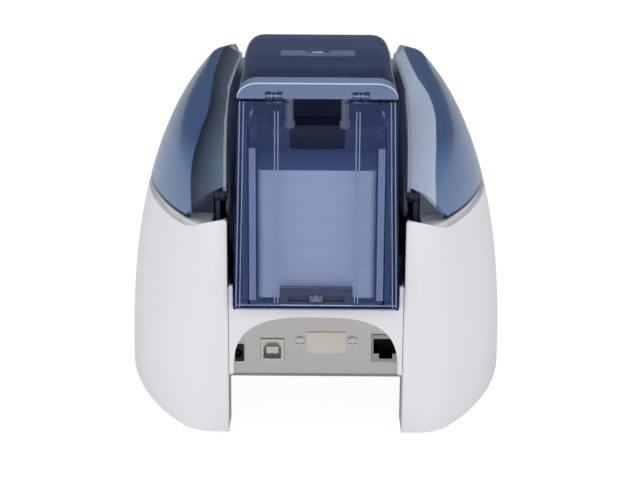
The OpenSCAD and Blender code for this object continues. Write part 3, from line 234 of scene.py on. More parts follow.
def wingPlastic(name, zoneKey):
    look, zone = wingTintAndShading, liningsAndReflections[zoneKey]
    material, tree, place = startMaterial(name)
    apart = addNode(tree, "ShaderNodeSeparateXYZ", {0: place})
    height = addNode(tree, "ShaderNodeMapRange", {"Value": apart.outputs["Z"],
        "From Min": look["low"] * mm, "From Max": look["high"] * mm}).outputs["Result"]
    ramp = addNode(tree, "ShaderNodeValToRGB", {"Fac": height})
    stops = ramp.color_ramp.elements
    while len(stops) < len(look["ramp"]):
        stops.new(0.5)
    for stop, (at, colour) in zip(stops, look["ramp"]):
        stop.position, stop.color = at, hexColour(colour)
    curve = addNode(tree, "ShaderNodeFloatCurve", {"Value": height})
    points = curve.mapping.curves[0].points
    while len(points) < len(zone["line"]):
        points.new(0.5, 0.5)
    for point, (z, x) in zip(points, zone["line"]):
        point.location = ((z - look["low"]) / (look["high"] - look["low"]), x / lineSpan)
    curve.mapping.update()
    wide = addNode(tree, "ShaderNodeMath", {0: apart.outputs["X"]}, operation="ABSOLUTE")
    wide = addNode(tree, "ShaderNodeMath", {0: wide.outputs[0], 1: scaleOf(lineSpan)},
        operation="MULTIPLY")
    inward = addNode(tree, "ShaderNodeMath", {0: curve.outputs[0], 1: wide.outputs[0]},
        operation="SUBTRACT").outputs[0]
    inside = addNode(tree, "ShaderNodeMapRange", {"Value": inward, "From Min": 0,
        "From Max": zone["soft"] / lineSpan})
    deep = addNode(tree, "ShaderNodeMapRange", {"Value": inward, "From Min": 0,
        "From Max": zone["width"] / lineSpan})
    zoneTone = addNode(tree, "ShaderNodeMix", {"Factor": deep.outputs["Result"],
        "A": hexColour(zone["edge"]), "B": hexColour(zone["inner"])}, data_type="RGBA")
    body = addNode(tree, "ShaderNodeMix", {"Factor": inside.outputs["Result"],
        "A": ramp.outputs["Color"], "B": zoneTone.outputs["Result"]}, data_type="RGBA")
    share = addNode(tree, "ShaderNodeMapRange", {"Value": inside.outputs["Result"],
        "To Min": look["share"], "To Max": look["lineShare"]})
    start, end, top, bottom = (v * mm for v in look["seam"])
    seam = addNode(tree, "ShaderNodeMapRange", {"Value": apart.outputs["Y"],
        "From Min": rearY - start, "From Max": rearY - end, "To Min": top, "To Max": bottom},
        interpolation_type="SMOOTHSTEP")
    rise = addNode(tree, "ShaderNodeMath", {0: apart.outputs["Z"], 1: seam.outputs["Result"]},
        operation="SUBTRACT")
    # a painted dark line just above the seam, standing in for the wing's dark edge
    edge = addNode(tree, "ShaderNodeMapRange", {"Value": rise.outputs[0],
        "From Min": look["edgeWidth"] * mm,
        "From Max": (look["edgeWidth"] - look["edgeSoft"]) * mm}).outputs["Result"]
    body = addNode(tree, "ShaderNodeMix", {"Factor": edge, "A": body.outputs["Result"],
        "B": hexColour(look["edge"])}, data_type="RGBA")
    share = addNode(tree, "ShaderNodeMath", {0: share.outputs["Result"], 1: edge},
        operation="MAXIMUM")
    clearShader(tree, place, look, body.outputs["Result"], share.outputs[0])
    return material


# Metals. The grain is stretched along the way it was worked, moves the roughness, and is
# drawn coarse enough to show.
worked = dict(polished=0.1, dulled=0.12, bite=0.6)
metals = {
    # zinc-plated sheet steel of the frame: cool grey with broad cloudy spangle
    "zincPlatedSteel": dict(colour="#b7babd", rough=0.38, stretch=(1, 1, 1), grain=4, depth=0.01),
    # brushed steel of the connector plate: fine level lines and a stretched highlight
    "brushedSteel": dict(colour="#f7f1e8", rough=0.36, stretch=(0.02, 1, 1), grain=0.5, depth=0.03),
    # tinned steel of the socket's shell, screws and print head: warm, bright, slightly mottled
    "tinnedSteel": dict(colour="#faf5ea", rough=0.3, stretch=(1, 1, 1), grain=1.5, depth=0.01),
    # ground steel of pins and pinch rollers: sharp highlights with fine turning marks
    "groundSteel": dict(colour="#c9ccd0", rough=0.18, stretch=(1, 1, 0.05), grain=0.4, depth=0.005),
    # blackened steel of motors and bracket: dark, with a dull oily sheen
    "blackenedSteel": dict(colour="#3a3c41", rough=0.4, stretch=(1, 1, 1), grain=0.8, depth=0.01),
    # turned brass of the pinions: yellow, with a soft bright edge
    "turnedBrass": dict(colour="#c8a557", rough=0.28, stretch=(1, 1, 1), grain=0.6, depth=0.01),
}


def sheetMetal(name):
    look = metals[name]
    material, tree, place = startMaterial(name)
    along = addNode(tree, "ShaderNodeMapping", {"Vector": place, "Scale": look["stretch"]})
    grain = addNode(tree, "ShaderNodeTexNoise", {"Vector": along.outputs["Vector"],
        "Scale": scaleOf(look["grain"]), "Detail": 3})
    gloss = addNode(tree, "ShaderNodeMapRange", {"Value": grain.outputs["Fac"],
        "To Min": look["rough"] - worked["polished"], "To Max": look["rough"] + worked["dulled"]})
    bump = addNode(tree, "ShaderNodeBump", {"Height": grain.outputs["Fac"],
        "Distance": look["depth"] * mm, "Strength": worked["bite"]})
    shader = addNode(tree, "ShaderNodeBsdfPrincipled", {"Base Color": hexColour(look["colour"]),
        "Metallic": 1, "Roughness": gloss.outputs["Result"], "Normal": bump.outputs["Normal"]})
    finishMaterial(tree, shader.outputs["BSDF"])
    return material


# Rubbers, moulded and ground. Dust in the pores greys them unevenly.
pores = dict(size=3.846, depth=0.05, bite=0.5)
rubbers = {
    # black rubber of rollers, belt and feet: soft black without a highlight
    "groundRubber": dict(colour="#1d1e20", shade="#151617", rough=0.75),
    # tacky silicone of the cleaning roller: strong blue and a little wet
    "tackySilicone": dict(colour="#2d57a0", shade="#244a8c", rough=0.55),
}


def softRubber(name):
    look = rubbers[name]
    material, tree, place = startMaterial(name)
    dust = addNode(tree, "ShaderNodeTexNoise", {"Vector": place,
        "Scale": scaleOf(pores["size"]), "Detail": 4})
    tint = addNode(tree, "ShaderNodeMix", {"Factor": dust.outputs["Fac"],
        "A": hexColour(look["shade"]), "B": hexColour(look["colour"])}, data_type="RGBA")
    bump = addNode(tree, "ShaderNodeBump", {"Height": dust.outputs["Fac"],
        "Distance": pores["depth"] * mm, "Strength": pores["bite"]})
    shader = addNode(tree, "ShaderNodeBsdfPrincipled", {"Base Color": tint.outputs["Result"],
        "Roughness": look["rough"], "Normal": bump.outputs["Normal"], "IOR": 1.5})
    finishMaterial(tree, shader.outputs["BSDF"])
    return material


# tinned steel shell of the network socket, with the black nylon insert deep inside it
jack = dict(tin="#c4c1b8", insert="#1d1c1f", insertStation=14.8, scuff=1.6667)


def tinnedJack():
    material, tree, place = startMaterial("tinnedJack")
    apart = addNode(tree, "ShaderNodeSeparateXYZ", {0: place})
    deep = addNode(tree, "ShaderNodeMath", {0: apart.outputs["Y"],
        1: rearY - jack["insertStation"] * mm}, operation="LESS_THAN")
    scuff = addNode(tree, "ShaderNodeTexNoise", {"Vector": place, "Scale": scaleOf(jack["scuff"]),
        "Detail": 2})
    gloss = addNode(tree, "ShaderNodeMapRange", {"Value": scuff.outputs["Fac"], "To Min": 0.25,
        "To Max": 0.4})
    tin = addNode(tree, "ShaderNodeBsdfPrincipled", {"Base Color": hexColour(jack["tin"]),
        "Metallic": 1, "Roughness": gloss.outputs["Result"]})
    insert = addNode(tree, "ShaderNodeBsdfPrincipled", {"Base Color": hexColour(jack["insert"]),
        "Roughness": 0.5})
    mix = addNode(tree, "ShaderNodeMixShader", {0: deep.outputs[0], 1: tin.outputs["BSDF"],
        2: insert.outputs["BSDF"]})
    finishMaterial(tree, mix.outputs["Shader"])
    return material


# green solder mask on glass epoxy: the copper tracks show through it as paler lines, 2.7 mm
# apart and 0.2 mm wide, which is coarser than they are
board = dict(mask="#1c5a3b", maskPale="#1f6342", track="#2b7d52", pattern=16.667)


def solderMask():
    material, tree, place = startMaterial("solderMask")
    tracks = addNode(tree, "ShaderNodeTexBrick", {"Vector": place,
        "Color1": hexColour(board["mask"]), "Color2": hexColour(board["maskPale"]),
        "Mortar": hexColour(board["track"]), "Scale": scaleOf(board["pattern"]),
        "Mortar Size": 0.012, "Brick Width": 0.9, "Row Height": 0.16})
    shader = addNode(tree, "ShaderNodeBsdfPrincipled", {"Base Color": tracks.outputs["Color"],
        "Roughness": 0.3, "IOR": 1.55})
    finishMaterial(tree, shader.outputs["BSDF"])
    return material


# laminated PVC of the cards: white edges, each card a shade of its own, and on every upward face a
# painted dark blue shade, standing in for the shade and blue light under the weight and the clear
# feeder
cardLook = dict(shade="#eff0f3", colour="#fbfbfc", face="#59648c", sheet=1.1111,
    flatten=(0.01, 0.01, 1), facing=(0.5, 0.9))


def laminatedPvc():
    material, tree, place = startMaterial("laminatedPvc")
    level = addNode(tree, "ShaderNodeMapping", {"Vector": place,
        "Scale": cardLook["flatten"]})
    sheet = addNode(tree, "ShaderNodeTexNoise", {"Vector": level.outputs["Vector"],
        "Scale": scaleOf(cardLook["sheet"]), "Detail": 0})
    tint = addNode(tree, "ShaderNodeMix", {"Factor": sheet.outputs["Fac"],
        "A": hexColour(cardLook["shade"]), "B": hexColour(cardLook["colour"])}, data_type="RGBA")
    normal = addNode(tree, "ShaderNodeNewGeometry").outputs["Normal"]
    apart = addNode(tree, "ShaderNodeSeparateXYZ", {0: normal})
    faceUp = addNode(tree, "ShaderNodeMapRange", {"Value": apart.outputs["Z"],
        "From Min": cardLook["facing"][0], "From Max": cardLook["facing"][1]})
    tone = addNode(tree, "ShaderNodeMix", {"Factor": faceUp.outputs["Result"],
        "A": tint.outputs["Result"], "B": hexColour(cardLook["face"])}, data_type="RGBA")
    shader = addNode(tree, "ShaderNodeBsdfPrincipled", {"Base Color": tone.outputs["Result"],
        "Roughness": 0.35, "IOR": 1.54})
    finishMaterial(tree, shader.outputs["BSDF"])
    return material


films = {
    # dye-coated polyester film of the ribbon: wine red, smooth and glossy
    "dyeCoatedFilm": dict(shade="#4b1230", colour="#6d1a45", cloud=8.3333, rough=0.25),
    # frosted acrylic of the status lights: a soft pale green, as when they are off
    "frostedAcrylic": dict(shade="#8fc79a", colour="#a8d8b0", cloud=2.5, rough=0.2),
}


def cloudyFilm(name):
    look = films[name]
    material, tree, place = startMaterial(name)
    cloud = addNode(tree, "ShaderNodeTexNoise", {"Vector": place, "Scale": scaleOf(look["cloud"]),
        "Detail": 2})
    tint = addNode(tree, "ShaderNodeMix", {"Factor": cloud.outputs["Fac"],
        "A": hexColour(look["shade"]), "B": hexColour(look["colour"])}, data_type="RGBA")
    shader = addNode(tree, "ShaderNodeBsdfPrincipled", {"Base Color": tint.outputs["Result"],
        "Roughness": look["rough"]})
    finishMaterial(tree, shader.outputs["BSDF"])
    return material


finishes = {name: mouldedPlastic(name) for name in mouldings}
finishes.update({name: clearPlastic(name) for name in glazing})
finishes.update({name: sheetMetal(name) for name in metals})
finishes.update({name: softRubber(name) for name in rubbers})
finishes.update({name: cloudyFilm(name) for name in films})
finishes.update(lidPolycarbonate=lidPlastic(), tinnedJack=tinnedJack(), solderMask=solderMask(),
    laminatedPvc=laminatedPvc(), wingLeft=wingPlastic("wingPolycarbonateLeft", "darkLiningAndShade"),
    wingRight=wingPlastic("wingPolycarbonateRight", "paleReflection"))
print("materials:", len(finishes))

# The casing is a row of superellipse sections whose crown is levelled off. A curved seam cuts
# it into shell and wings, and the cover's middle and the feeder stand in the bay between them.
casing = dict(halfWidth=99.5, length=290, crown=182, squareness=2.34, planRadius=175, belly=144,
    rearEdge=8, frontEdge=14, droop=40, levelDrop=22, levelShare=0.3, wall=3.2, seam=97,
    seamDrop=13, seamStart=60, legRise=7, legRiseLength=22, bayHalf=40.5, bayDepth=20,
    bridgeTop=72, foot=1.5, fasciaHalf=34, fasciaLow=42)
cover = dict(wall=2.2, gap=4, cheek=1.5, rearHalf=41, midHalf=38.6, midStation=105,
    widenAfter=3, widenLength=50, valleyHalf=46, notch=22, notchSoft=3)


def smoothStep(u):
    c = min(1, max(0, u))
    return c * c * (3 - 2 * c)


# how far a rounded edge of radius r draws the surface in, at a distance s from its end
def roundIn(s, r):
    return r - math.sqrt(max(0, r * r - max(0, r - s) ** 2))


# half width and height of the section at a station, measured inset from the outer face
def sectionSize(q, inset):
    c = casing
    edge = roundIn(q - inset, max(leastRadius, c["rearEdge"] - inset))
    edge += roundIn(c["length"] - inset - q, max(leastRadius, c["frontEdge"] - inset))
    wide = c["halfWidth"] * math.sqrt(1 - ((q - c["belly"]) / c["planRadius"]) ** 2)
    fall = max(0, q - c["belly"]) / (c["length"] - c["belly"])
    return wide - inset - edge, c["crown"] - c["droop"] * fall * fall - inset - edge


def seamHeight(q):
    c = casing
    along = (q - c["seamStart"]) / (c["length"] - c["seamStart"])
    return c["seam"] - c["seamDrop"] * smoothStep(along)


# the shell's upper rim, which rises a little over the rear legs
def rimHeight(q):
    c = casing
    return seamHeight(q) + c["legRise"] * max(0, 1 - max(0, q) / c["legRiseLength"]) ** 2


# the wings' lower edge, which lifts in a soft notch at the rear corner
def wingEdge(q):
    c = cover
    u = max(0, c["notch"] - q)
    return seamHeight(q) + c["gap"] + math.sqrt(u * u + c["notchSoft"] ** 2) - c["notchSoft"]


def bayHalf(q):
    c = cover
    if q < c["midStation"]:
        return c["rearHalf"] - (c["rearHalf"] - c["midHalf"]) * q / c["midStation"]
    widened = smoothStep((q - c["midStation"] - c["widenAfter"]) / c["widenLength"])
    return c["midHalf"] + (c["valleyHalf"] - c["midHalf"]) * widened


def angleAtHeight(q, z, inset):
    high = sectionSize(q, inset)[1]
    bend = high - casing["levelDrop"]
    z = z if z < bend else bend + (z - bend) / casing["levelShare"]
    return math.asin(min(1, max(0, z / high)) ** (casing["squareness"] / 2))


def angleAtWidth(q, x, inset):
    wide = sectionSize(q, inset)[0]
    return math.acos(min(1, max(0, x / wide)) ** (casing["squareness"] / 2))


def widthAt(q, z, inset):
    turn = math.cos(angleAtHeight(q, z, inset))
    return sectionSize(q, inset)[0] * turn ** (2 / casing["squareness"])


wrapInputs = {"Half Width": "halfWidth", "Length": "length", "Crown": "crown",
    "Squareness": "squareness", "Plan Radius": "planRadius", "Belly": "belly",
    "Rear Edge": "rearEdge", "Front Edge": "frontEdge", "Droop": "droop",
    "Level Drop": "levelDrop", "Level Share": "levelShare"}


# takes a flat skin of points (angle, station, inset) to its place on the casing
def wrapTree():
    tree = bpy.data.node_groups.new("wrapOnCasing", "GeometryNodeTree")
    tree.interface.new_socket("Geometry", in_out="INPUT", socket_type="NodeSocketGeometry")
    for name in wrapInputs:
        tree.interface.new_socket(name, in_out="INPUT", socket_type="NodeSocketFloat")
    tree.interface.new_socket("Material", in_out="INPUT", socket_type="NodeSocketMaterial")
    tree.interface.new_socket("Geometry", in_out="OUTPUT", socket_type="NodeSocketGeometry")
    given = addNode(tree, "NodeGroupInput")

    def calc(operation, *values):
        made = addNode(tree, "ShaderNodeMath", dict(enumerate(values)), operation=operation)
        return made.outputs[0]

    size = {name: given.outputs[name] for name in wrapInputs}
    position = addNode(tree, "GeometryNodeInputPosition").outputs[0]
    angle, station, inset = addNode(tree, "ShaderNodeSeparateXYZ", {0: position}).outputs
    fromFront = calc("SUBTRACT", size["Length"], station)
    edges = []
    for edge, way in (("Rear Edge", station), ("Front Edge", fromFront)):
        radius = calc("MAXIMUM", calc("SUBTRACT", size[edge], inset), leastRadius)
        left = calc("SUBTRACT", calc("SUBTRACT", radius, way), calc("MULTIPLY", inset, -1))
        short = calc("MAXIMUM", left, 0)
        squares = calc("MULTIPLY", radius, radius), calc("MULTIPLY", short, short)
        rest = calc("MAXIMUM", calc("SUBTRACT", *squares), 0)
        edges.append(calc("SUBTRACT", radius, calc("SQRT", rest)))
    drawnIn = calc("ADD", calc("ADD", edges[0], edges[1]), inset)
    ahead = calc("SUBTRACT", station, size["Belly"])
    share = calc("DIVIDE", ahead, size["Plan Radius"])
    spread = calc("SQRT", calc("SUBTRACT", 1, calc("MULTIPLY", share, share)))
    wide = calc("SUBTRACT", calc("MULTIPLY", size["Half Width"], spread), drawnIn)
    length = calc("SUBTRACT", size["Length"], size["Belly"])
    fall = calc("DIVIDE", calc("MAXIMUM", ahead, 0), length)
    fallen = calc("MULTIPLY", size["Droop"], calc("MULTIPLY", fall, fall))
    high = calc("SUBTRACT", calc("SUBTRACT", size["Crown"], fallen), drawnIn)
    power = calc("DIVIDE", 2, size["Squareness"])
    across = calc("MAXIMUM", calc("COSINE", angle), 0)
    x = calc("MULTIPLY", wide, calc("POWER", across, power))
    up = calc("MAXIMUM", calc("SINE", angle), 0)
    risen = calc("MULTIPLY", high, calc("POWER", up, power))
    bend = calc("SUBTRACT", high, size["Level Drop"])
    over = calc("MAXIMUM", calc("SUBTRACT", risen, bend), 0)
    z = calc("ADD", calc("MINIMUM", risen, bend), calc("MULTIPLY", over, size["Level Share"]))
    y = calc("SUBTRACT", rearY / mm, station)
    millimetres = addNode(tree, "ShaderNodeCombineXYZ", {0: x, 1: y, 2: z})
    metres = addNode(tree, "ShaderNodeVectorMath", {0: millimetres.outputs[0], "Scale": mm},
        operation="SCALE")
    moved = addNode(tree, "GeometryNodeSetPosition", {"Geometry": given.outputs["Geometry"],
        "Position": metres.outputs[0]})
    real = addNode(tree, "GeometryNodeRealizeInstances", {"Geometry": moved.outputs["Geometry"]})
    painted = addNode(tree, "GeometryNodeSetMaterial", {"Geometry": real.outputs["Geometry"],
        "Material": given.outputs["Material"]})
    addNode(tree, "NodeGroupOutput", {"Geometry": painted.outputs["Geometry"]})
    return tree


wrapOnCasing = wrapTree()


def setInputs(modifier, values):
    for item in modifier.node_group.interface.items_tree:
        if item.in_out == "INPUT" and item.name in values:
            modifier[item.identifier] = values[item.name]


def plainMesh(obj):
    graph = bpy.context.evaluated_depsgraph_get()
    mesh = bpy.data.meshes.new_from_object(obj.evaluated_get(graph))
    old = obj.data
    obj.modifiers.clear()
    obj.data = mesh
    bpy.data.meshes.remove(old)
    return obj


def newObject(name, mesh, material=None):
    obj = bpy.data.objects.new(name, mesh)
    bpy.context.scene.collection.objects.link(obj)
    if material:
        mesh.materials.clear()
        mesh.materials.append(finishes[material])
    return obj


# rows of a skin: even ones, and closer ones round both edges and towards both ends
skinRows = dict(edgeStep=9, finest=0.03, finer=8, least=0.02)


def stationsOf(q0, q1, count):
    rear, front, length = casing["rearEdge"], casing["frontEdge"], casing["length"]
    turns = [math.radians(a) for a in range(0, 91, skinRows["edgeStep"])]
    gaps = [(1 << i) * skinRows["finest"] for i in range(skinRows["finer"])]
    rows = [q0 + (q1 - q0) * i / count for i in range(count + 1)]
    rows += [rear * (1 - math.cos(turn)) for turn in turns]
    rows += [length - front * (1 - math.cos(turn)) for turn in turns]
    rows += [q0 + gap for gap in gaps] + [q1 - gap for gap in gaps]
    rows = sorted(q for q in rows if q0 <= q <= q1)
    return [q for i, q in enumerate(rows) if i == 0 or q - rows[i - 1] > skinRows["least"]]


def wrappedSkin(name, rows, low, high, columns, inset=0):
    flat = bmesh.new()
    grid = []
    for q in rows:
        a0, a1 = low(q), high(q)
        angles = [a0 + (a1 - a0) * i / columns for i in range(columns + 1)]
        grid.append([flat.verts.new((angle, q, inset)) for angle in angles])
    for near, far in zip(grid, grid[1:]):
        for i in range(columns):
            flat.faces.new((near[i], near[i + 1], far[i + 1], far[i]))
    mesh = bpy.data.meshes.new(name)
    flat.to_mesh(mesh)
    flat.free()
    obj = newObject(name, mesh)
    wrap = obj.modifiers.new("wrap", "NODES")
    wrap.node_group = wrapOnCasing
    setInputs(wrap, {name: float(casing[key]) for name, key in wrapInputs.items()})
    return plainMesh(obj)


def openMesh(obj):
    bm = bmesh.new()
    bm.from_mesh(obj.data)
    return bm


def outlineAt(bm, q):
    row = [v for v in bm.verts if abs(v.co.y - (rearY - q * mm)) < weld / 10]
    return sorted(row, key=lambda v: v.co.z)


def addFace(bm, outline, corners, y):
    made = [bm.verts.new((x * mm, y, z * mm)) for x, z in corners]
    return bm.faces.new(outline + made)


def mirrorAcross(bm):
    copy = bmesh.ops.duplicate(bm, geom=bm.verts[:] + bm.edges[:] + bm.faces[:])["geom"]
    verts = [v for v in copy if isinstance(v, bmesh.types.BMVert)]
    bmesh.ops.scale(bm, vec=(-1, 1, 1), verts=verts)
    bmesh.ops.remove_doubles(bm, verts=bm.verts, dist=2 * weld)


def addBevel(obj, name, width, segments, angle):
    bevel = obj.modifiers.new(name, "BEVEL")
    bevel.width, bevel.segments = width * mm, segments
    bevel.limit_method, bevel.angle_limit = "ANGLE", math.radians(angle)
    return bevel


def weighNormals(obj):
    obj.modifiers.new("normals", "WEIGHTED_NORMAL").keep_sharp = True


# gives an open skin its material, wall thickness and rounded edges
def finishSheet(obj, bm, material, wall, edge, corner=0, second=None):
    bmesh.ops.remove_doubles(bm, verts=bm.verts, dist=weld)
    bmesh.ops.recalc_face_normals(bm, faces=bm.faces)
    outward = sum(f.normal.dot(f.calc_center_median() - heart) * f.calc_area() for f in bm.faces)
    if outward < 0:
        bmesh.ops.reverse_faces(bm, faces=bm.faces)
    obj.data.materials.clear()
    obj.data.materials.append(finishes[material])
    if second:
        obj.data.materials.append(finishes[second])
    bm.to_mesh(obj.data)
    bm.free()
    if corner:
        addBevel(obj, "corner", corner, segments=4, angle=50)
    sheet = obj.modifiers.new("wall", "SOLIDIFY")
    sheet.thickness, sheet.offset, sheet.use_even_offset = wall * mm, -1, True
    addBevel(obj, "edge", edge, segments=3, angle=40)
    plainMesh(obj)
    for polygon in obj.data.polygons:
        polygon.use_smooth = True
    weighNormals(obj)
    return plainMesh(obj)


shellForm = dict(rows=60, columns=22, baySteps=10, corner=1.6, edge=0.5, innerReach=21,
    innerBehind=0.8)


def buildShell():
    c, form = casing, shellForm
    length, bay, rim = c["length"], c["bayHalf"], rimHeight(0)
    obj = wrappedSkin("casingShell", stationsOf(0, length, form["rows"]),
        lambda q: angleAtHeight(q, c["foot"], 0), lambda q: angleAtHeight(q, rimHeight(q), 0),
        form["columns"])
    bm = openMesh(obj)
    rear, front = outlineAt(bm, 0), outlineAt(bm, length)
    addFace(bm, rear, [(bay, rim), (bay, c["bridgeTop"]), (bay, c["foot"])], rearY)
    addFace(bm, front, [(c["fasciaHalf"], rimHeight(length)), (c["fasciaHalf"], c["fasciaLow"]),
        (0, c["fasciaLow"]), (0, c["foot"])], rearY - length * mm)
    # the bay's sides: below the bridge top in the casing's white, above it in the second finish,
    # black as painted shade for the dark bay
    steps = [i * c["bayDepth"] / form["baySteps"] for i in range(form["baySteps"] + 1)]
    strip = [[bm.verts.new((bay * mm, rearY - q * mm, z * mm))
        for z in (c["foot"], c["bridgeTop"], rimHeight(q))] for q in steps]
    for a, b in zip(strip, strip[1:]):
        bm.faces.new((a[0], a[1], b[1], b[0]))
        bm.faces.new((a[1], a[2], b[2], b[1])).material_index = 1
    mirrorAcross(bm)
    finishSheet(obj, bm, "satinAbs", c["wall"], form["edge"], form["corner"], "blackNylonAndShade")
    for v in obj.data.vertices:  # the wall's inner corner stays behind the bay's side
        atRear = (rearY - v.co.y) < form["innerReach"] * mm
        if atRear and v.co.z > c["bridgeTop"] * mm and abs(v.co.x) < bay * mm:
            v.co.x = math.copysign((bay + form["innerBehind"]) * mm, v.co.x)
    return obj


# the inner lip that the wings close over
lipForm = dict(rear=32, front=280, rows=50, columns=4, clearance=0.5, below=8, above=5, rise=1,
    slope=0.4, wall=2, edge=0.4)


def buildLip():
    form = lipForm
    inset = cover["wall"] + form["clearance"]

    def low(q):
        return angleAtHeight(q, seamHeight(q) - form["below"], inset)

    def high(q):
        full = seamHeight(q) + cover["gap"] + form["above"]
        return angleAtHeight(q, min(full, rimHeight(q) + form["rise"] + form["slope"] * q), inset)

    rows = stationsOf(form["rear"], form["front"], form["rows"])
    obj = wrappedSkin("casingLip", rows, low, high, form["columns"], inset)
    bm = openMesh(obj)
    mirrorAcross(bm)
    finishSheet(obj, bm, "satinAbs", form["wall"], form["edge"])
    return obj


# the ledge under the wings' rear corners, with a skirt down its outer side
ledge = dict(inner=48.6, top=99.6, skirt=8, rear=9, front=33, inset=2.9, cornerIn=1.2,
    cornerDown=0.8, wall=1.5, edge=0.3)


def buildLedge():
    form = ledge
    inset, top = form["inset"], form["top"]
    low, skirt = top - form["cornerDown"], top - form["skirt"]
    bm = bmesh.new()
    rows = []
    for q in range(form["rear"], form["front"] + 1):
        section = ((form["inner"], top), (widthAt(q, top, inset) - form["cornerIn"], top),
            (widthAt(q, low, inset), low), (widthAt(q, skirt, inset), skirt))
        rows.append([bm.verts.new((x * mm, rearY - q * mm, z * mm)) for x, z in section])
    for a, b in zip(rows, rows[1:]):
        for i in range(len(a) - 1):
            bm.faces.new((a[i], a[i + 1], b[i + 1], b[i]))
    mirrorAcross(bm)
    obj = newObject("casingLedge", bpy.data.meshes.new("casingLedge"))
    return finishSheet(obj, bm, "satinAbs", form["wall"], form["edge"])


wingForm = dict(rows=60, columns=30, halvings=40, rearReach=30, frontReach=40, edge=0.4)


# the station where the wing's lower and upper edges meet
def tipStation(low, high, outside, inside):
    for step in range(wingForm["halvings"]):
        middle = (outside + inside) / 2
        if low(middle) < high(middle):
            inside = middle
        else:
            outside = middle
    return inside


def buildWing(name, side):
    form, length = wingForm, casing["length"]

    def low(q):
        return angleAtHeight(q, wingEdge(q), 0)

    def high(q):
        return angleAtWidth(q, bayHalf(q) + cover["cheek"], 0)

    rear = tipStation(low, high, 0, form["rearReach"])
    front = tipStation(low, high, length, length - form["frontReach"])
    rows = stationsOf(rear, front, form["rows"])
    obj = wrappedSkin(name, rows, low, high, form["columns"])
    bm = openMesh(obj)
    if side < 0:
        bmesh.ops.scale(bm, vec=(-1, 1, 1), verts=bm.verts)
    return finishSheet(obj, bm, name, cover["wall"], form["edge"])


# thin round lines through points (x, station, z), on both sides of the middle
def buildLines(name, finish, radius, paths):
    curve = bpy.data.curves.new(name, "CURVE")
    curve.dimensions, curve.use_fill_caps = "3D", True
    curve.bevel_depth, curve.bevel_resolution = radius * mm, 3
    for path in paths:
        for side in (1, -1):
            line = curve.splines.new("POLY")
            line.points.add(len(path) - 1)
            for point, (x, q, z) in zip(line.points, path):
                point.co = (side * x * mm, rearY - q * mm, z * mm, 1)
    obj = newObject(name, curve)
    graph = bpy.context.evaluated_depsgraph_get()
    mesh = bpy.data.meshes.new_from_object(obj.evaluated_get(graph))
    bpy.data.objects.remove(obj)
    mesh.materials.clear()
    for polygon in mesh.polygons:
        polygon.use_smooth = True
    return newObject(name, mesh, finish)


def uprights(look):
    return [[(x, look["station"], z) for z in look["heights"]] for x in look["across"]]


feeder = dict(rimHalf=35.6, floorHalf=38, low=62, rim=160.2)
# painted highlight lines along the feeder's clear walls, its ribs and the sills at its foot
feederEdges = dict(radius=0.28, station=-3.3, heights=(64, 159.4), insets=(1.2, 2.9),
    sills=(63.2, 65), sillInset=1.5)
feederRibs = dict(across=(17.5, 19), station=-2.2, heights=(66, 155))


def feederHalf(z, inset):
    f = feeder
    lean = (f["floorHalf"] - f["rimHalf"]) * (z - f["low"]) / (f["rim"] - f["low"])
    return f["floorHalf"] - lean - inset


def buildFeederLines():
    form = feederEdges
    q = form["station"]
    corners = [[(feederHalf(z, inset), q, z) for z in form["heights"]] for inset in form["insets"]]
    sills = [[(0, q, z), (feederHalf(z, form["sillInset"]), q, z)] for z in form["sills"]]
    return buildLines("feederLines", "paintedHighlightPolycarbonate", form["radius"],
        corners + uprights(feederRibs) + sills)


# pale guides beside the cards, and dark strips outside them: painted shade on the feeder's sides
guides = dict(radius=0.55, across=(28.1, 29.1, 30.1), station=-1, heights=(67, 138))
guideShadeStrips = dict(radius=0.8, across=(31.7, 33), station=0.5, heights=(67, 150))
# dark bead under the wings' edge: painted shade standing in for the dark edge of the clear wing
wingEdgeShade = dict(radius=0.5, below=0.7, inset=2.4, rear=20, front=274, step=3)


def buildWingEdgeShade():
    path = []
    for q in range(wingEdgeShade["rear"], wingEdgeShade["front"], wingEdgeShade["step"]):
        z = wingEdge(q) - wingEdgeShade["below"]
        path.append((widthAt(q, z, wingEdgeShade["inset"]), q, z))
    return buildLines("wingEdgeShadeBead", "blackNylonAndShade", wingEdgeShade["radius"], [path])


# painted highlight lines on the lid: the arch of its rear rim, the rim's foot beside the knuckles,
# and a glint in the dimple of its grip
lidEdges = dict(radius=0.3, station=-3.65, foot=(35.5, -3.7, 161.1), turn=(26.6, 161.2),
    reach=(8.9, 6.3), turnStep=10, top=167.5, base=(-3.6, 161.4), baseSpans=((34, 25), (13.6, 0)),
    dimple=((0, 49.6, 173.8), (1.6, 49.5, 173.8), (2.6, 49.2, 173.8)))


def buildLidLines():
    form = lidEdges
    q = form["station"]
    baseStation, baseHeight = form["base"]
    arch = [form["foot"]]
    for turn in (math.radians(a) for a in range(form["turnStep"], 91, form["turnStep"])):
        arch.append((form["turn"][0] + form["reach"][0] * math.cos(turn), q,
            form["turn"][1] + form["reach"][1] * math.sin(turn)))
    arch.append((0, q, form["top"]))
    base = [[(x, baseStation, baseHeight) for x in span] for span in form["baseSpans"]]
    return buildLines("lidLines", "paintedHighlightPolycarbonate", form["radius"],
        [arch, *base, form["dimple"]])


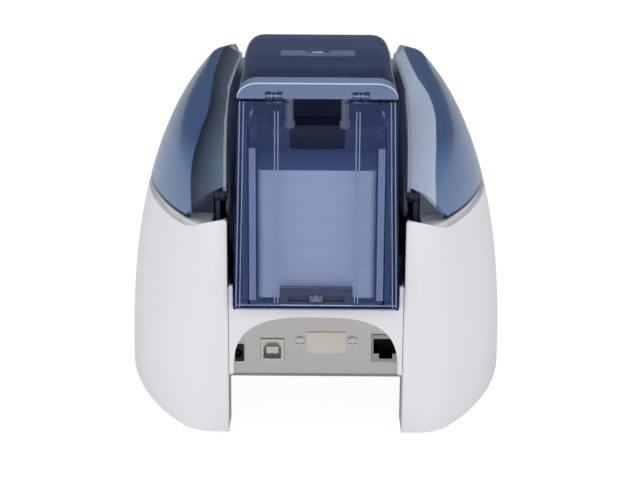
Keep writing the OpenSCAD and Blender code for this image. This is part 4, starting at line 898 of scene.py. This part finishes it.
shell = buildShell()
lip = buildLip()
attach(buildLedge(), "chassis")
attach(buildFeederLines(), "chassis")
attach(buildLines("guideBands", "frostedPolycarbonate", guides["radius"], uprights(guides)),
    "chassis")
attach(buildWingEdgeShade(), "chassis")
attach(buildLines("guideShades", "midnightAbsAndShade", guideShadeStrips["radius"], uprights(guideShadeStrips)), "chassis")
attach(buildLidLines(), "lid")
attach(shell, "chassis")
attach(lip, "chassis")
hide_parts("body_shell")
for name, node, side in (("wingLeft", "left_wing", 1), ("wingRight", "right_wing", -1)):
    wing = buildWing(name, side)
    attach(wing, "cover")
    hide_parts(node)
print("casing and wings built")

# the pile of blank cards, each a little out of line with the next
stack = dict(width=54, length=85.6, corner=3.18, cornerStep=18, thickness=0.76, gap=0.03,
    count=79, low=67, station=3, slip=0.06, seed=4)


def stackTree():
    tree = bpy.data.node_groups.new("cardPile", "GeometryNodeTree")
    tree.interface.new_socket("Geometry", in_out="INPUT", socket_type="NodeSocketGeometry")
    for name, kind in (("Count", "NodeSocketInt"), ("Pitch", "NodeSocketFloat"),
            ("Slip", "NodeSocketFloat"), ("Seed", "NodeSocketInt"),
            ("Material", "NodeSocketMaterial")):
        tree.interface.new_socket(name, in_out="INPUT", socket_type=kind)
    tree.interface.new_socket("Geometry", in_out="OUTPUT", socket_type="NodeSocketGeometry")
    given = addNode(tree, "NodeGroupInput").outputs
    step = addNode(tree, "ShaderNodeCombineXYZ", {2: given["Pitch"]})
    line = addNode(tree, "GeometryNodeMeshLine", {"Count": given["Count"],
        "Offset": step.outputs[0]})
    most = addNode(tree, "ShaderNodeCombineXYZ", {0: given["Slip"], 1: given["Slip"]})
    least = addNode(tree, "ShaderNodeVectorMath", {0: most.outputs[0], "Scale": -1},
        operation="SCALE")
    slip = addNode(tree, "FunctionNodeRandomValue", {"Min": least.outputs[0],
        "Max": most.outputs[0], "Seed": given["Seed"]}, data_type="FLOAT_VECTOR")
    moved = addNode(tree, "GeometryNodeSetPosition", {"Geometry": line.outputs["Mesh"],
        "Offset": slip.outputs["Value"]})
    pile = addNode(tree, "GeometryNodeInstanceOnPoints", {"Points": moved.outputs["Geometry"],
        "Instance": given["Geometry"]})
    real = addNode(tree, "GeometryNodeRealizeInstances", {"Geometry": pile.outputs["Instances"]})
    painted = addNode(tree, "GeometryNodeSetMaterial", {"Geometry": real.outputs["Geometry"],
        "Material": given["Material"]})
    addNode(tree, "NodeGroupOutput", {"Geometry": painted.outputs["Geometry"]})
    return tree


def buildStack():
    s = stack
    r = s["corner"]
    x, y = s["width"] / 2 - s["slip"] - r, s["length"] / 2 - s["slip"] - r
    middle = rearY - (s["station"] + s["length"] / 2) * mm
    bm = bmesh.new()
    ring = []
    for cx, cy, start in ((x, y, 0), (-x, y, 90), (-x, -y, 180), (x, -y, 270)):
        for a in range(0, 91, s["cornerStep"]):
            turn = math.radians(start + a)
            ring.append(bm.verts.new(((cx + r * math.cos(turn)) * mm,
                middle + (cy + r * math.sin(turn)) * mm, s["low"] * mm)))
    bottom = bm.faces.new(ring)
    top = bmesh.ops.extrude_face_region(bm, geom=[bottom])["geom"]
    bmesh.ops.translate(bm, vec=(0, 0, (s["thickness"] - s["gap"]) * mm),
        verts=[v for v in top if isinstance(v, bmesh.types.BMVert)])
    bmesh.ops.recalc_face_normals(bm, faces=bm.faces)
    mesh = bpy.data.meshes.new("cardPile")
    bm.to_mesh(mesh)
    bm.free()
    obj = newObject("cardPile", mesh)
    pile = obj.modifiers.new("pile", "NODES")
    pile.node_group = stackTree()
    setInputs(pile, {"Count": s["count"], "Pitch": s["thickness"] * mm, "Slip": s["slip"] * mm,
        "Seed": s["seed"], "Material": finishes["laminatedPvc"]})
    return plainMesh(obj)


cards = buildStack()
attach(cards, "chassis")
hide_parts("card_stack")
print("card stack built")

# which CAD pieces take which finish
coats = {
    "zincPlatedSteel": ["base_plate", "left_side_plate", "right_side_plate", "latch_catch"],
    "satinAbs": ["rear_bridge"],
    "brushedSteel": ["connector_plate"],
    "tinnedSteel": ["usb_port", "print_head", "serial_screws"],
    "tinnedJack": ["ethernet_port"],
    "blackNylonAndShade": ["power_inlet", "board_chips"],
    "beigeAbs": ["serial_blank"],
    "groundSteel": ["lid_pins", "in_pinch_roller", "out_pinch_roller", "exit_pinch_roller"],
    "solderMask": ["main_board"],
    "greyAbs": ["cover_spine"],
    "paleGreyAbs": ["weight_posts", "right_inner_frame", "feeder_nose", "front_fascia"],
    "blackenedSteel": ["head_bracket", "feed_motor", "main_motor", "ribbon_motor"],
    "navyAbs": ["cover_pins", "hinge_posts", "cover_arms"],
    "midnightAbsAndShade": ["card_weight", "gauge_scale"],
    "feederPolycarbonate": ["feeder_body", "lid_knuckles"],
    "lidPolycarbonate": ["feeder_lid"],
    "trayPolycarbonate": ["output_tray"],
    "slateAbsAndPaintedLight": ["card_gauge", "left_inner_frame"],
    "buttonAbs": ["release_button", "cover_latch", "control_button"],
    "frostedAcrylic": ["status_lights"],
    "groundRubber": ["rubber_feet", "feed_roller", "in_roller", "platen_roller", "out_roller",
        "exit_roller", "drive_belt"],
    "tackySilicone": ["cleaning_roller"],
    "turnedBrass": ["feed_pinion", "ribbon_pinion"],
    "dyeCoatedFilm": ["supply_spool", "takeup_spool", "ribbon_film"],
}
brightEdges = {"lid_knuckles": 0.2}  # pieces whose edges get a painted highlight bevel, and how wide
smoothBelow = 28  # faces that meet at less than this many degrees are shaded as one


def softShadeTree():
    tree = bpy.data.node_groups.new("softShade", "GeometryNodeTree")
    tree.interface.new_socket("Geometry", in_out="INPUT", socket_type="NodeSocketGeometry")
    tree.interface.new_socket("Angle", in_out="INPUT", socket_type="NodeSocketFloat")
    tree.interface.new_socket("Geometry", in_out="OUTPUT", socket_type="NodeSocketGeometry")
    given = addNode(tree, "NodeGroupInput").outputs
    joined = addNode(tree, "GeometryNodeMergeByDistance", {"Geometry": given["Geometry"],
        "Distance": weld})
    bend = addNode(tree, "GeometryNodeInputMeshEdgeAngle")
    soft = addNode(tree, "FunctionNodeCompare", {0: bend.outputs["Unsigned Angle"],
        1: given["Angle"]}, operation="LESS_THAN")
    edges = addNode(tree, "GeometryNodeSetShadeSmooth", {"Geometry": joined.outputs["Geometry"],
        "Shade Smooth": soft.outputs["Result"]}, domain="EDGE")
    faces = addNode(tree, "GeometryNodeSetShadeSmooth", {"Geometry": edges.outputs["Geometry"]},
        domain="FACE")
    addNode(tree, "NodeGroupOutput", {"Geometry": faces.outputs["Geometry"]})
    return tree


softShade = softShadeTree()
for finish, nodes in coats.items():
    for node in nodes:
        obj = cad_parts[node]
        obj.data.materials.clear()
        obj.data.materials.append(finishes[finish])
        shade = obj.modifiers.new("softShade", "NODES")
        shade.node_group = softShade
        setInputs(shade, {"Angle": math.radians(smoothBelow)})
        if node in brightEdges:
            obj.data.materials.append(finishes["paintedHighlightPolycarbonate"])
            trim = addBevel(obj, "paintedHighlightEdge", brightEdges[node], segments=2, angle=50)
            trim.material = 1
        weighNormals(obj)
print("CAD pieces finished:", sum(len(nodes) for nodes in coats.values()))

# a pale floor and plain soft light; reflections see both as a calm grey, so that gloss and
# metal don't burn out
floorLook = dict(half=4, colour="#f7f7f7", mirrored="#bec1c8", glow=1.03, glowShare=0.94)
lamps = {
    "overhead": dict(place=(0.1, 0.3, 1.4), size=1.2, power=3.6),
    "left": dict(place=(0.93, 1.1, 0.75), size=0.9, power=1.85),
    "right": dict(place=(-0.93, 1.1, 0.75), size=0.9, power=1.6),
    "front": dict(place=(0, -1.0, 1.9), size=1.2, power=2.6),
}
studio = dict(sky=0.8, gleam=0.12, gleamColour="#cdd2dd")
view = dict(place=(0.0, 0.8633, 0.278), lens=87.2, pitch=75, turn=180, roll=0.4, shift=0.0055)


def buildFloor():
    mesh = bpy.data.meshes.new("floor")
    far = floorLook["half"]
    corners = [(-far, -far, 0), (far, -far, 0), (far, far, 0), (-far, far, 0)]
    mesh.from_pydata(corners, [], [(0, 1, 2, 3)])
    floor = newObject("floor", mesh)
    material, tree = startMaterial("paleFloor")[:2]
    path = addNode(tree, "ShaderNodeLightPath")
    mirror = addNode(tree, "ShaderNodeMath", {0: path.outputs["Is Glossy Ray"],
        1: path.outputs["Is Transmission Ray"]}, operation="SUBTRACT", use_clamp=True)
    tone = addNode(tree, "ShaderNodeMix", {"Factor": mirror.outputs[0],
        "A": hexColour(floorLook["colour"]), "B": hexColour(floorLook["mirrored"])},
        data_type="RGBA")
    matt = addNode(tree, "ShaderNodeBsdfDiffuse", {"Color": tone.outputs["Result"]})
    glow = addNode(tree, "ShaderNodeEmission", {"Color": hexColour("#ffffff"),
        "Strength": floorLook["glow"]})
    share = addNode(tree, "ShaderNodeMath", {0: path.outputs["Is Camera Ray"],
        1: floorLook["glowShare"]}, operation="MULTIPLY")
    mix = addNode(tree, "ShaderNodeMixShader", {0: share.outputs[0], 1: matt.outputs["BSDF"],
        2: glow.outputs["Emission"]})
    finishMaterial(tree, mix.outputs["Shader"])
    mesh.materials.append(material)


def buildLamps():
    for name, look in lamps.items():
        lamp = bpy.data.lights.new(name, "AREA")
        lamp.size, lamp.energy = look["size"], look["power"]
        obj = bpy.data.objects.new(name, lamp)
        bpy.context.scene.collection.objects.link(obj)
        obj.location = look["place"]
        aim = heart - Vector(look["place"])
        obj.rotation_euler = aim.to_track_quat("-Z", "Y").to_euler()


def buildWorld():
    world = bpy.data.worlds.new("studio")
    bpy.context.scene.world = world
    world.use_nodes = True
    tree = world.node_tree
    tree.nodes.clear()
    path = addNode(tree, "ShaderNodeLightPath")
    sky = addNode(tree, "ShaderNodeBackground", {"Color": hexColour("#ffffff"),
        "Strength": studio["sky"]})
    gleam = addNode(tree, "ShaderNodeBackground", {"Color": hexColour(studio["gleamColour"]),
        "Strength": studio["gleam"]})
    mirror = addNode(tree, "ShaderNodeMath", {0: path.outputs["Is Glossy Ray"],
        1: path.outputs["Is Transmission Ray"]}, operation="SUBTRACT", use_clamp=True)
    lit = addNode(tree, "ShaderNodeMixShader", {0: mirror.outputs[0],
        1: sky.outputs["Background"], 2: gleam.outputs["Background"]})
    white = addNode(tree, "ShaderNodeBackground", {"Color": hexColour("#ffffff"), "Strength": 1})
    seen = addNode(tree, "ShaderNodeMixShader", {0: path.outputs["Is Camera Ray"],
        1: lit.outputs["Shader"], 2: white.outputs["Background"]})
    addNode(tree, "ShaderNodeOutputWorld", {"Surface": seen.outputs["Shader"]})


def buildCamera():
    lens = bpy.data.cameras.new("camera")
    lens.lens, lens.shift_x = view["lens"], view["shift"]
    camera = bpy.data.objects.new("camera", lens)
    bpy.context.scene.collection.objects.link(camera)
    camera.location = view["place"]
    camera.rotation_euler = (math.radians(view["pitch"]), 0, math.radians(view["turn"]))
    camera.rotation_euler.rotate_axis("Z", math.radians(view["roll"]))
    bpy.context.scene.camera = camera


buildFloor()
buildLamps()
buildWorld()
buildCamera()
bpy.context.scene.view_settings.view_transform = "Standard"
print("studio set")
